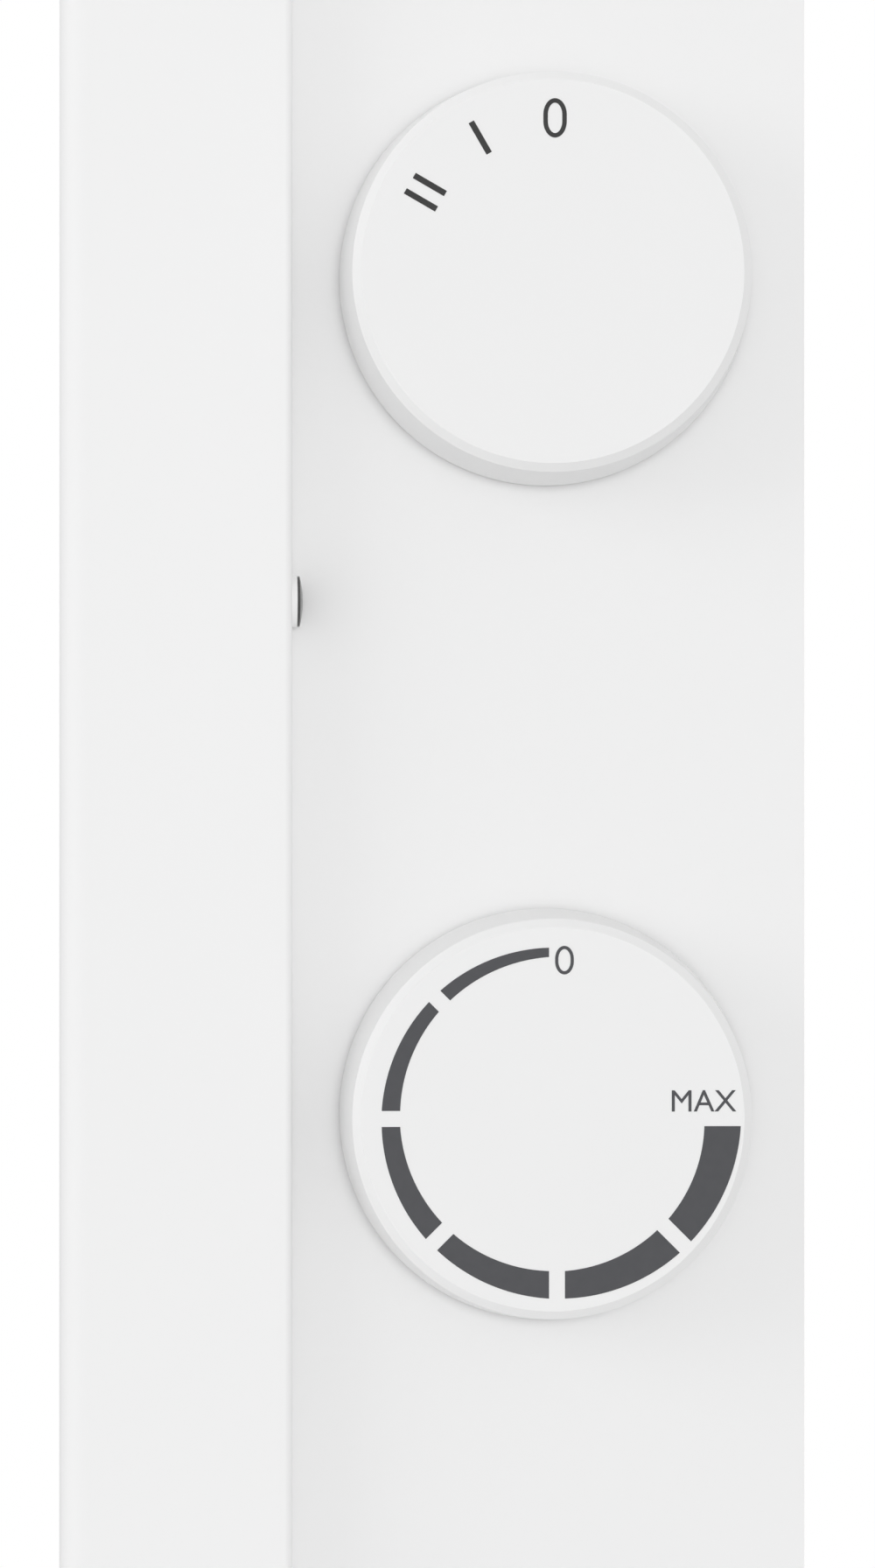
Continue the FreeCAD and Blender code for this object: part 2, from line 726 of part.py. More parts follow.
def outlet_grille():
    body = grille_frame("outlet_grille", deck_high, -1, outlet_length)
    inside = outlet_length / 2 - s.panel_gap - s.grille_wall / 2
    low, high = deck_high - s.grille_depth, deck_high + s.rim_height * 0.6
    span = s.slat_pitch * (s.slat_count - 1)
    start = middle_y - (span + s.grille_wall - s.slat_lean) / 2
    slat = extrude(body, "x", -inside, inside, outline(
        (start, low), (start + s.grille_wall, low),
        (start + s.grille_wall - s.slat_lean, high), (start - s.slat_lean, high)))
    repeat(body, [slat], "y", span, s.slat_count)
    half = s.grille_width / 2 - s.panel_gap - s.grille_wall / 2
    rib_span = outlet_length * 2 / 3
    rib = extrude(body, "x", -rib_span / 2 - s.grille_wall / 2, s.grille_wall / 2 - rib_span / 2,
                  box(middle_y - half, low, middle_y + half, low + s.grille_depth / 2))
    repeat(body, [rib], "x", rib_span, 5)


def inlet_grille():
    body = grille_frame("inlet_grille", deck_low, 1, inlet_length)
    half = s.grille_width / 2 - s.panel_gap - s.grille_wall / 2
    count = int(float(inlet_length) / float(s.bar_pitch)) - 1
    span = s.bar_pitch * (count - 1)
    left, right = -span / 2 - s.bar_width / 2, s.bar_width / 2 - span / 2
    bar = extrude(body, "z", deck_low - s.rim_height * 0.6, deck_low + s.grille_depth / 2,
                  box(left, middle_y - half, right, middle_y + half))
    repeat(body, [bar], "x", span, count)


# heating element: a ribbed aluminium extrusion on a sheathed core, held by ceramic bushes in two brackets
fins_start = bracket_left + s.end_gap
fins_end = bracket_right - s.end_gap
bush_hole = s.ceramic_dia + 2 * s.core_play


def element_fins():
    body = make_body("element_fins", fins_start, middle_y, element_z)
    length = fins_end - fins_start
    extrude(body, "x", 0, length, circle(0, 0, s.element_hub))
    reach = s.element_reach
    fin = extrude(body, "x", 0, length, outline(
        (0, -s.fin_root / 2), (reach, -s.fin_tip / 2), (reach, s.fin_tip / 2), (0, s.fin_root / 2)))
    features = [fin]
    for part in (0.55, 0.75, 0.95):
        middle = reach * part
        features.append(extrude(body, "x", 0, length, box(
            middle - s.fin_rib / 2, -s.fin_rib_reach, middle + s.fin_rib / 2, s.fin_rib_reach)))
    turn_around(body, features, "x", 4)
    cut(body, "x", 0, length, circle(0, 0, s.core_dia + 2 * s.core_play))
    body.Placement = Placement(body.Placement.Base, Rotation(Vector(1, 0, 0), 45))


core_start = bracket_left - s.sheet - s.core_proud
core_end = bracket_right + s.sheet + s.core_proud


def cylinder_along_x(start, end, y, z, diameter):
    return Part.makeCylinder(float(diameter) / 2, float(end - start), spot(start, y, z), Vector(1, 0, 0))


pin_places = [(core_end, 1, middle_y - s.pin_offset), (core_end, 1, middle_y + s.pin_offset),
              (core_start, -1, middle_y)]


def element_core():
    group("element_core", [cylinder_along_x(core_start, core_end, middle_y, element_z, s.core_dia)])
    caps = [turned([(0, 0), (s.cap_dia / 2, 0), (s.cap_dia / 2, s.cap_length * 0.6),
                    (s.cap_dia * 0.4, s.cap_length), (0, s.cap_length)],
                   [spot(x, middle_y, element_z)], Vector(sign, 0, 0))[0]
            for x, sign in ((core_end, 1), (core_start, -1))]
    group("element_caps", caps)
    pins = [turned([(0, 0), (s.pin_dia / 2, 0), (s.pin_dia / 2, s.pin_length), (0, s.pin_length)],
                   [spot(x + sign * s.cap_length, y, element_z)], Vector(sign, 0, 0))[0]
            for x, sign, y in pin_places]
    group("element_pins", pins)
    half, step = s.ceramic_dia / 2, s.end_gap / 3
    bore, flange = s.core_dia / 2 + s.core_play, s.ceramic_flange / 2
    end = s.sheet + step
    profile = [(bore, -step), (flange, -step), (flange, 0), (half, 0), (half, end), (bore, end)]
    bushes = turned(profile, [spot(bracket_right, middle_y, element_z)], Vector(1, 0, 0))
    bushes += turned(profile, [spot(bracket_left, middle_y, element_z)], Vector(-1, 0, 0))
    group("element_bushes", bushes)


def element_bracket(label, face, sign):
    """Upright plate with a round head and a foot that points away from the element."""
    body = make_body(label)
    low, back = middle_y - bracket_half, middle_y + bracket_half
    extrude(body, "x", face, face + sign * s.sheet, outline(
        (low, inner_low), (back, inner_low), (back, element_z, bracket_half * 1.1), (low, element_z)))
    foot_start, foot_end = in_order(face, face + sign * s.bracket_foot)
    extrude(body, "z", inner_low, inner_low + s.sheet, box(foot_start, low, foot_end, back))
    cut(body, "x", face, face + sign * s.sheet, circle(middle_y, element_z, bush_hole))
    screw_x = bracket_screw_x[1] if sign > 0 else bracket_screw_x[0]
    cut(body, "z", inner_low, inner_low + s.sheet, *[circle(screw_x, y, screw_hole) for y in bracket_screw_y])


# divider between the hot bay and the control bay, with what it carries
return_z = deck_low + s.return_rise
cutout_z = deck_low + s.cutout_rise
cutout_face = divider_face + s.clip_sheet                   # seat of the cut-out's ears
tip_low = deck_low + s.tip_rise
clip_ring = s.bulb_dia + 2 * (s.screw_play + s.clip_sheet)
bulb_x = divider_face + clip_ring / 2
bulb_y = flange_face + s.bulb_inset
bulb_low = inner_low + s.bulb_rise
bulb_high = bulb_low + s.bulb_length
clip_z = bulb_low + s.bulb_length / 4
clip_screw_y = bulb_y + s.clip_width * 1.2


def divider_panel():
    body = make_body("divider_panel")
    front, rear = flange_face + s.panel_gap, rear_face - s.sheet
    notch_y, notch_z = rear_face - s.pan_depth - s.panel_gap, inner_low + 3 * s.sheet
    top = deck_high - s.grille_depth - s.flange_gap
    extrude(body, "x", divider_back, divider_face, outline(
        (front, inner_low), (notch_y, inner_low), (notch_y, notch_z), (rear, notch_z),
        (rear, top), (front, top)))
    fold = divider_back - s.flange_width
    foot = (middle_y - bracket_half, middle_y + bracket_half)
    extrude(body, "z", inner_low, inner_low + s.sheet, box(fold, foot[0], divider_face, foot[1]))
    extrude(body, "y", rear - s.sheet, rear, box(fold, element_z, divider_face, top - s.flange_width))
    cut(body, "z", inner_low, inner_low + s.sheet,
        *[circle(divider_foot_x, y, screw_hole) for y in divider_screw_y])
    cut(body, "y", rear - s.sheet, rear, *[circle(divider_foot_x, z, screw_hole) for z in divider_screw_z])
    grommets = [circle(middle_y, z, s.grommet_neck + 2 * s.screw_play) for z in (element_z, return_z)]
    ears = [circle(middle_y, cutout_z + sign * s.cutout_pitch / 2, screw_hole) for sign in (-1, 1)]
    cut(body, "x", divider_back, divider_face, *grommets, *ears, circle(clip_screw_y, clip_z, screw_hole),
        circle(middle_y, cutout_z, s.cutout_dia + 2 * s.screw_play))


def wire_grommets():
    bore, neck, flange = s.grommet_bore / 2, s.grommet_neck / 2, s.grommet_flange / 2
    lip = flange - neck
    profile = [(bore, -lip), (flange, -lip), (flange, 0), (neck, 0), (neck, s.sheet), (flange, s.sheet),
               (flange, s.sheet + lip), (bore, s.sheet + lip)]
    places = [spot(divider_back, middle_y, z) for z in (element_z, return_z)]
    group("wire_grommets", turned(profile, places, Vector(1, 0, 0)))


def thermal_cutout():
    body = make_body("thermal_cutout", divider_face, middle_y, cutout_z)
    half, ear = s.cutout_dia / 2, s.cutout_ear / 2
    extrude(body, "x", -s.sheet - s.cutout_proud, s.clip_sheet + s.cutout_body, circle(0, 0, s.cutout_dia))
    extrude(body, "x", 0, s.clip_sheet, rounded_box(-half, -ear, half, ear, s.fold_radius))
    cut(body, "x", 0, s.clip_sheet, *[circle(0, sign * s.cutout_pitch / 2, screw_hole) for sign in (-1, 1)])


def tip_switch():
    body = make_body("tip_switch", divider_face, middle_y, tip_low)
    half = s.tip_width / 2
    extrude(body, "x", 0, s.tip_depth * 0.6, rounded_box(-half, 0, half, s.tip_height, s.fold_radius))
    extrude(body, "x", 0, s.tip_depth, circle(0, s.tip_height / 2, s.tip_width * 0.8))


def tabs_along_x(label, tip_side, root, places):
    """Flat push-on tabs that stand out of a face, given by their (y, z) places."""
    solids = []
    start, end = in_order(root, root + tip_side * s.tab_length)
    for y, z in places:
        low = spot(start, y - s.tab_thick / 2, z - s.tab_width / 2)
        high = spot(end, y + s.tab_thick / 2, z + s.tab_width / 2)
        solids.append((low, high))
    blocks(label, solids)


cutout_root = cutout_face + s.cutout_body
cutout_tabs = [(middle_y + sign * s.cutout_dia / 4, cutout_z) for sign in (-1, 1)]
tip_root = divider_face + s.tip_depth
tip_tabs = [(middle_y + sign * s.tip_width / 4, tip_low + s.tip_height / 2) for sign in (-1, 1)]


def sensor():
    radius, neck, length = s.bulb_dia / 2, s.capillary_dia / 2, s.bulb_length
    profile = [(0, 0), (radius - s.fold_radius / 2, 0), (radius, s.fold_radius), (radius, length - radius),
               (neck, length), (0, length)]
    group("sensor_bulb", turned(profile, [spot(bulb_x, bulb_y, bulb_low)], Vector(0, 0, 1)))
    body = make_body("bulb_clip")
    low, high = clip_z - s.clip_width / 2, clip_z + s.clip_width / 2
    extrude(body, "z", low, high, circle(bulb_x, bulb_y, clip_ring))
    outer = divider_face + s.clip_sheet
    extrude(body, "z", low, high, box(divider_face, bulb_y, outer, clip_screw_y + s.screw_head))
    cut(body, "z", low, high, circle(bulb_x, bulb_y, s.bulb_dia + 2 * s.screw_play))
    cut(body, "x", divider_face, outer, circle(clip_screw_y, clip_z, screw_hole))


# dials: each has a switch or thermostat behind the side panel, a shaft through its neck, and a hollow knob
plate_back = s.sheet + s.plate_sheet                        # side panel's outer side to the control
shaft_end = s.knob_height - s.knob_face
flat_start = s.bush_proud + s.shaft_flat
boss_start = flat_start + s.knob_gap


def control_plate(label, z):
    body = make_body(label, side_face, dial_y, z)
    half_y, half_z = s.plate_width / 2, s.plate_height / 2
    extrude(body, "x", -plate_back, -s.sheet, rounded_box(-half_y, -half_z, half_y, half_z, s.fold_radius))
    cut(body, "x", -plate_back, -s.sheet, circle(0, 0, s.bush_dia + 2 * s.screw_play),
        *[circle(0, sign * s.control_pitch / 2, screw_hole) for sign in (-1, 1)])


def control_body(label, z, half_y, half_z, depth):
    body = make_body(label, side_face, dial_y, z)
    section = rounded_box(-half_y, -half_z, half_y, half_z, s.fold_radius)
    extrude(body, "x", -plate_back - depth, -plate_back, section)
    extrude(body, "x", -plate_back, s.bush_proud, circle(0, 0, s.bush_dia))
    cut(body, "x", -plate_back - s.screw_length, -plate_back,
        *[circle(0, sign * s.control_pitch / 2, screw_hole) for sign in (-1, 1)])
    cut(body, "x", -plate_back - s.shaft_inside - s.panel_gap, s.bush_proud,
        circle(0, 0, s.shaft_dia + 2 * s.shaft_play))
    return body


def thermostat_body():
    body = control_body("thermostat_body", lower_z, s.thermostat_width / 2, s.thermostat_height / 2,
                        s.thermostat_depth)
    back = -plate_back - s.thermostat_depth
    extrude(body, "x", back - s.capsule_depth, back, circle(0, 0, s.capsule_dia))
    round_edges(body, s.fold_radius, lambda edge: lies_at(edge, "x", back - s.capsule_depth))


def dial_shaft(label, z):
    body = make_body(label, side_face, dial_y, z)
    radius, end = s.shaft_dia / 2, shaft_end - s.panel_gap
    extrude(body, "x", -plate_back - s.shaft_inside, end, circle(0, 0, s.shaft_dia))
    cut(body, "x", flat_start, end, box(-radius, radius - s.shaft_flat, radius, radius + s.sheet))


def dial_knob(label, z):
    """Hollow moulded knob: drafted skirt, bevelled flat face, ribs, and a boss with a D bore."""
    body = make_body(label, side_face, dial_y, z)
    base, top, boss = s.knob_base / 2, s.knob_top / 2, s.boss_dia / 2
    ceiling = s.knob_height - s.knob_face
    revolve(body, "z", "x", outline(
        (s.knob_gap, base), (s.knob_height - s.knob_bevel, top), (s.knob_height, top - s.knob_bevel),
        (s.knob_height, 0), (boss_start, 0), (boss_start, boss), (ceiling, boss), (ceiling, top - s.knob_wall),
        (s.knob_gap, base - s.knob_wall)))
    rib = extrude(body, "x", s.rib_rise, ceiling, box(
        boss - s.rib_width / 2, -s.rib_width / 2, top - s.knob_wall / 2, s.rib_width / 2))
    turn_around(body, [rib], "x", s.rib_count)
    cut(body, "x", boss_start, ceiling, d_shape(s.shaft_dia + 2 * s.shaft_play, s.shaft_flat))


switch_root = side_face - plate_back - s.switch_depth
thermostat_root = side_face - plate_back - s.thermostat_depth
switch_y, switch_z = s.switch_side / 4, s.switch_side / 4
common_tab = (dial_y, upper_z + switch_z)
lamp_tab = (dial_y - switch_y, upper_z + switch_z)
low_tab = (dial_y - switch_y, upper_z - switch_z)
high_tab = (dial_y + switch_y, upper_z - switch_z)
thermostat_tab_y = (s.thermostat_width + s.capsule_dia) / 4
thermostat_tabs = [(dial_y - thermostat_tab_y, lower_z), (dial_y + thermostat_tab_y, lower_z)]


# indicator: a domed lens that stands out of the lip beside the dials, in a holder screwed to the lip
holder_front = lip_face - s.sheet


def indicator_lens():
    body = make_body("indicator_lens", lens_x, lip_face, lens_z)
    radius, collar, thick = s.lens_dia / 2, s.lens_collar / 2, s.sheet + s.rim_height
    dome = (radius * radius + s.lens_proud * s.lens_proud) / (2 * s.lens_proud)
    revolve(body, "z", "y", outline(
        (radius, 0, dome), (0, s.lens_proud), (0, -s.lens_length), (radius, -s.lens_length), (radius, -thick),
        (collar, -thick), (collar, -s.sheet), (radius, -s.sheet)))


def indicator_holder():
    body = make_body("indicator_holder")
    low, high = lens_z - s.holder_height / 2, lens_z + s.holder_height / 2
    left, right = flange_x - s.screw_head * 0.7, lens_x + s.lens_collar / 2
    back, play = holder_front - s.holder_depth, 2 * s.screw_play
    extrude(body, "y", back, holder_front, rounded_box(left, low, right, high, s.hem_radius))
    cut(body, "y", back, holder_front, circle(lens_x, lens_z, s.lens_dia + play))
    cut(body, "y", holder_front - s.rim_height, holder_front, circle(lens_x, lens_z, s.lens_collar + play))
    cut(body, "y", holder_front - s.screw_length, holder_front, circle(flange_x, lens_z, screw_hole))


# supply: a three pole terminal block and the gland for the lead
entry_z = s.block_height * 0.7
entry_dia = s.wire_dia + 4 * s.screw_play
entry_depth = s.block_width * 0.3
poles = [middle_y + step * s.pole_pitch for step in (-1, 0, 1)]
block_left = block_x - s.block_width / 2


def terminal_block():
    body = make_body("terminal_block", block_x, middle_y, inner_low)
    half_x, half_y, pitch = s.block_width / 2, s.block_length / 2, s.pole_pitch
    extrude(body, "z", 0, s.block_height, rounded_box(-half_x, -half_y, half_x, half_y, s.fold_radius))
    groove = s.tab_thick * 2
    cut(body, "z", entry_z, s.block_height, *[box(
        -half_x, y - groove / 2, half_x, y + groove / 2) for y in (-pitch / 2, pitch / 2)])
    rows = (-pitch, as_size(0), pitch)
    cut(body, "z", entry_z, s.block_height, *[circle(sign * half_x / 2, y, s.screw_head * 0.9)
                                              for y in rows for sign in (-1, 1)])
    for start, end in ((-half_x, entry_depth - half_x), (half_x - entry_depth, half_x)):
        cut(body, "x", start, end, *[circle(y, entry_z, entry_dia) for y in rows])
    cut(body, "z", 0, s.screw_length, circle(half_x / 2, 0, screw_hole))


def cord_gland():
    body = make_body("cord_gland", gland_x, rear_face, gland_z)
    bore, neck, flange = s.gland_bore / 2, s.gland_neck / 2, s.gland_flange / 2
    rise, catch = s.rim_height * 3, -s.sheet - s.panel_gap
    revolve(body, "z", "y", outline(
        (bore, -s.gland_length), (bore, rise), (flange - s.fold_radius, rise), (flange, rise / 2),
        (flange, 0), (neck, 0), (neck, catch), (neck + s.hem_radius, catch), (neck, -s.gland_length / 2),
        (neck - s.hem_radius, -s.gland_length)))


# feet: hollow mouldings under the bottom panel, on rubber pads, screwed into rivet nuts
def foot_profile(inset):
    """Side outline of a foot, or of its hollow when inset by the wall."""
    toe = s.foot_length / 2 - inset
    low = s.pad_proud - inset
    tip = s.pad_proud + s.toe_height - inset
    shoulder = rear_face + s.foot_shoulder - inset / 2
    step = lip_face + s.panel_gap + inset
    seat, front = deck_low - inset, s.floor_gap - s.panel_gap - inset
    curve = s.foot_curve + inset
    return outline((-toe, low), (toe, low), (toe, tip, -curve), (shoulder, seat), (step, seat), (step, front),
                   (-shoulder, front, -curve), (-toe, tip))


def foot(label, sign):
    body = make_body(label, sign * foot_x)
    half, wall, toe = s.foot_width / 2, s.foot_wall, s.foot_length / 2
    extrude(body, "x", -half, half, foot_profile(as_size(0)))
    tip = s.pad_proud + s.toe_height
    round_edges(body, s.toe_corner, lambda edge: runs_along(edge, "z")
                and (lies_at(edge, "y", toe) or lies_at(edge, "y", -toe)))

    def on_toe(edge):
        ends = [edge.valueAt(edge.FirstParameter), edge.valueAt(edge.LastParameter)]
        high = all(end.z > float(tip) - 1e-4 for end in ends)
        beyond = all(abs(end.y) > float(rear_face) for end in ends)
        return high and beyond and any(abs(end.y) > float(toe - s.toe_corner) - 1e-4 for end in ends)

    round_edges(body, s.foot_edge, on_toe)
    cut(body, "x", wall - half, half - wall, foot_profile(wall))
    place = toe - s.pad_inset
    boss = 2 * s.pad_inset - wall
    pads = [circle(0, y, boss) for y in (-place, place)]
    extrude(body, "z", s.pad_proud, tip - s.sheet, *pads)
    cut(body, "z", s.pad_proud, s.pad_proud + s.pad_sunk,
        *[circle(0, y, s.pad_dia + 2 * s.screw_play) for y in (-place, place)])
    cut(body, "z", deck_low - wall, deck_low, *[circle(0, y, foot_screw_hole) for y in foot_screw_y])


def foot_fasteners():
    radius, height, edge = s.pad_dia / 2, s.pad_proud + s.pad_sunk, s.pad_proud / 2
    place = s.foot_length / 2 - s.pad_inset
    profile = [(0, 0), (radius - edge, 0), (radius, edge), (radius, height), (0, height)]
    places = [spot(x * foot_x, y * place, 0) for x in (-1, 1) for y in (-1, 1)]
    group("foot_pads", turned(profile, places, Vector(0, 0, 1)))
    spots = [(sign * foot_x, y) for sign in (-1, 1) for y in foot_screw_y]
    heads = [spot(x, y, deck_low - s.foot_wall) for x, y in spots]
    length = s.foot_wall + s.sheet + s.nut_length
    group("foot_screws", pan_screws(heads, Vector(0, 0, -1), s.foot_screw_dia, length, s.foot_screw_head,
                                    s.foot_screw_rise))
    bore = foot_screw_hole / 2
    nut = [(bore, 0), (s.nut_flange / 2, 0), (s.nut_flange / 2, s.sheet), (s.nut_dia / 2, s.sheet),
           (s.nut_dia / 2, s.nut_length), (bore, s.nut_length)]
    group("foot_nuts", turned(nut, [spot(x, y, inner_low) for x, y in spots], Vector(0, 0, 1)))


# screws
def casing_screws():
    places = [spot(x, flange_face, z) for x, z in flange_screw_places + [holder_screw_place]]
    group("flange_screws", small_screws(places, Vector(0, 1, 0)))
    corners = [(sign * flange_x, middle_y) for sign in (-1, 1)] + [(x, pan_screw_y) for x in thirds]
    solids = small_screws([spot(x, y, deck_high) for x, y in corners], Vector(0, 0, 1))
    solids += small_screws([spot(x, y, deck_low) for x, y in corners], Vector(0, 0, -1))
    group("casing_screws", solids)
    controls = [spot(side_face, dial_y, z + sign * s.control_pitch / 2)
                for z in (upper_z, lower_z) for sign in (-1, 1)]
    group("control_screws", small_screws(controls, Vector(1, 0, 0)))
    feet = [(x, y) for x in bracket_screw_x for y in bracket_screw_y]
    feet += [(divider_foot_x, y) for y in divider_screw_y] + [(block_screw_x, middle_y)]
    group("base_screws", small_screws([spot(x, y, deck_low) for x, y in feet], Vector(0, 0, -1)))
    backs = [spot(divider_foot_x, rear_face, z) for z in divider_screw_z]
    group("rear_screws", small_screws(backs, Vector(0, 1, 0)))
    ears = [spot(cutout_face, middle_y, cutout_z + sign * s.cutout_pitch / 2) for sign in (-1, 1)]
    ears.append(spot(divider_face + s.clip_sheet, clip_screw_y, clip_z))
    group("divider_screws", small_screws(ears, Vector(1, 0, 0)))


# wiring inside the control bay, and the capillary from the thermostat to its bulb
def wiring():
    def wire(label, *points):
        tube(label, [spot(*point) for point in points], s.wire_dia, s.wire_bend)

    step, bend = s.wire_dia, s.wire_bend
    pole_x, pole_z = block_left + entry_depth, inner_low + entry_z
    switch_tip = switch_root - s.tab_length
    thermostat_tip = thermostat_root - s.tab_length
    cutout_tip, tip_tip = cutout_root + s.tab_length, tip_root + s.tab_length
    pin_tip = core_end + s.cap_length + s.pin_length
    left_tip = core_start - s.cap_length - s.pin_length
    front = flange_face + bend * 0.7
    bay = divider_face + s.control_bay * 0.42                # clear way up the middle of the control bay
    y0, y1 = thermostat_tabs[0][0], thermostat_tabs[1][0]
    wire("wire_supply", (pole_x, poles[0], pole_z), (bay, poles[0], pole_z), (bay, front, pole_z + 5.5 * bend),
         (bay, front, lower_z - 4 * bend), (bay + 2 * step, y0, lower_z), (thermostat_tip, y0, lower_z))
    wire("wire_switched", (thermostat_tip, y1, lower_z), (bay + 2 * step, y1, lower_z),
         (bay + step, y1, lower_z + 6 * bend), (bay, *common_tab), (switch_tip, *common_tab))
    low_y, low_x = pin_places[0][2], bay - 4.5 * step
    wire("wire_low", (switch_tip, *low_tab), (bay - 2.5 * step, *low_tab),
         (bay - 4 * step, front + 2 * step, lower_z + 2.5 * bend), (low_x, front, element_z + 5.5 * bend),
         (low_x, low_y, element_z), (pin_tip, low_y, element_z))
    high_y, high_x, behind = pin_places[1][2], bay - 3.5 * step, pan_screw_y - 2.5 * step
    wire("wire_high", (switch_tip, *high_tab), (high_x, *high_tab), (bay - 4 * step, behind, lower_z + 2.5 * bend),
         (high_x, behind, element_z + 4.5 * bend), (high_x, high_y, element_z), (pin_tip, high_y, element_z))
    y0, y1 = cutout_tabs[0][0], cutout_tabs[1][0]
    ahead = middle_y - bracket_half - bend / 2               # passes in front of the two brackets
    turn_x = left_tip - 5.5 * step
    wire("wire_return", (left_tip, middle_y, element_z), (turn_x, middle_y, element_z),
         (turn_x, ahead, element_z - 4.5 * bend), (left_tip - 2 * step, ahead, return_z),
         (bracket_right + 3.5 * step, ahead, return_z), (bracket_right + 6 * step, middle_y, return_z),
         (bay - step, middle_y, return_z), (bay - 0.5 * step, middle_y - 4 * step, return_z + 4 * bend),
         (bay + 0.5 * step, middle_y - 5.5 * step, cutout_z - 4.5 * bend), (bay + 3 * step, y0, cutout_z),
         (cutout_tip, y0, cutout_z))
    tip_x, tab_z = bay + 3.5 * step, tip_tabs[0][1]
    wire("wire_cutout", (cutout_tip, y1, cutout_z), (bay + 2.5 * step, y1, cutout_z),
         (tip_x, tip_tabs[1][0], tab_z), (tip_tip, tip_tabs[1][0], tab_z))
    wire("wire_neutral", (tip_tip, tip_tabs[0][0], tab_z), (tip_x, tip_tabs[0][0], tab_z),
         (bay + 2.5 * step, poles[1] + step, return_z + 6 * bend), (bay + 1.5 * step, poles[1], pole_z),
         (pole_x, poles[1], pole_z))
    earth_z = pole_z + 4 * bend
    wire("wire_earth", (pole_x, poles[2], pole_z), (divider_face + 2.5 * bend, poles[2], pole_z),
         (divider_face + 6 * step, poles[2], earth_z), (divider_face, poles[2], earth_z))
    lens_back, tray = lip_face - s.lens_length, front_face + bend
    wire("wire_lamp", (lens_x, lens_back, lens_z), (lens_x, tray, lens_z), (bay + 9 * step, tray, lens_z + bend),
         (bay + 1.5 * step, front, upper_z), (bay, *lamp_tab), (switch_tip, *lamp_tab))
    tube("capillary_tube", [
        spot(thermostat_root - s.capsule_depth, dial_y, lower_z), spot(bay - 3.5 * step, dial_y, lower_z),
        spot(bay - 7 * step, dial_y - 5 * step, lower_z - 2.5 * bend), spot(bulb_x, bulb_y, lower_z - 7 * bend),
        spot(bulb_x, bulb_y, bulb_high)], s.capillary_dia, bend)


front_panel()
side_panel("side_panel_right", 1)
side_panel("side_panel_left", -1)
deck("top_panel", deck_high, -1, outlet_length)
bottom_panel()
rear_panel()
outlet_grille()
inlet_grille()
element_fins()
element_core()
element_bracket("element_bracket_right", bracket_right, 1)
element_bracket("element_bracket_left", bracket_left, -1)
divider_panel()
wire_grommets()
thermal_cutout()
tabs_along_x("cutout_tabs", 1, cutout_root, cutout_tabs)
tip_switch()
tabs_along_x("tip_switch_tabs", 1, tip_root, tip_tabs)
sensor()
control_body("switch_body", upper_z, s.switch_side / 2, s.switch_side / 2, s.switch_depth)
thermostat_body()
for place, name in ((upper_z, "switch_plate"), (lower_z, "thermostat_plate")):
    control_plate(name, place)
for place, name in ((upper_z, "mode"), (lower_z, "thermostat")):
    dial_shaft(f"{name}_shaft", place)
    dial_knob(f"{name}_knob", place)
tabs_along_x("switch_tabs", -1, switch_root, [common_tab, lamp_tab, low_tab, high_tab])
tabs_along_x("thermostat_tabs", -1, thermostat_root, thermostat_tabs)
indicator_lens()
indicator_holder()
terminal_block()
cord_gland()
foot("foot_right", 1)
foot("foot_left", -1)
foot_fasteners()
casing_screws()
wiring()

doc.recompute()
for thing in doc.Objects:
    if "Invalid" in thing.State or "Error" in thing.State or "Touched" in thing.State:
        raise RuntimeError(f"{thing.Label} is {thing.State}")
os.makedirs("parts", exist_ok=True)
for piece in pieces:
    if piece.Shape.isNull() or not piece.Shape.isValid():
        raise RuntimeError(f"{piece.Label} has no valid shape")
    piece.Shape.exportStep(f"parts/{piece.Label}.step")
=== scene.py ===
import math

import bpy
from mathutils import Matrix, Vector


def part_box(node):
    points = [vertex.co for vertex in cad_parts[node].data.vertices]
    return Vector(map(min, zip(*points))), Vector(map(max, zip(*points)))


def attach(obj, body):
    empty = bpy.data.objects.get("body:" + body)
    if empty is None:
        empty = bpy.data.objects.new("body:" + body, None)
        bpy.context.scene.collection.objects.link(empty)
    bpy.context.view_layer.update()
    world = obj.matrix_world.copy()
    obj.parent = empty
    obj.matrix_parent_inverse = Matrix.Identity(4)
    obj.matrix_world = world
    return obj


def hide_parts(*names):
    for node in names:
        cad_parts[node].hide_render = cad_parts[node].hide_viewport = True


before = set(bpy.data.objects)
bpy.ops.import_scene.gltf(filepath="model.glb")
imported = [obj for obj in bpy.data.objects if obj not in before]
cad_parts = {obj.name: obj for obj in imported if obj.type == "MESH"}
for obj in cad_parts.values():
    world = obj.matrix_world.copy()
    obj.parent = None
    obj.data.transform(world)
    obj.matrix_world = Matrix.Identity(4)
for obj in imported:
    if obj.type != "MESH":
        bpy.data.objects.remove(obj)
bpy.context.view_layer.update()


# Casing: a front tray, two recessed sides, a top, a bottom and a back, held together by screws from above,
# below and behind. All six are folded from 1 mm steel sheet and powder coated white, which leaves a satin
# film with a faint orange peel.
class Shade:
    """A socket in a tree of nodes. Arithmetic on it adds Math nodes, and node() adds any other node."""

    def __init__(self, tree, socket=None):
        self.tree = tree
        self.socket = socket

    def node(self, kind, settings=None, sockets=None, out=0):
        made = self.tree.nodes.new("ShaderNode" + kind)
        for name, setting in (settings or {}).items():
            setattr(made, name, setting)
        for name, value in (sockets or {}).items():
            if isinstance(value, Shade):
                self.tree.links.new(value.socket, made.inputs[name])
            else:
                made.inputs[name].default_value = value
        return Shade(self.tree, made.outputs[out] if made.outputs else None)

    def maths(self, operation, first, second):
        return self.node("Math", {"operation": operation}, {0: first, 1: second})

    def __add__(self, other):
        return self.maths("ADD", self, other)

    def __mul__(self, other):
        return self.maths("MULTIPLY", self, other)

    __radd__ = __add__
    __rmul__ = __mul__


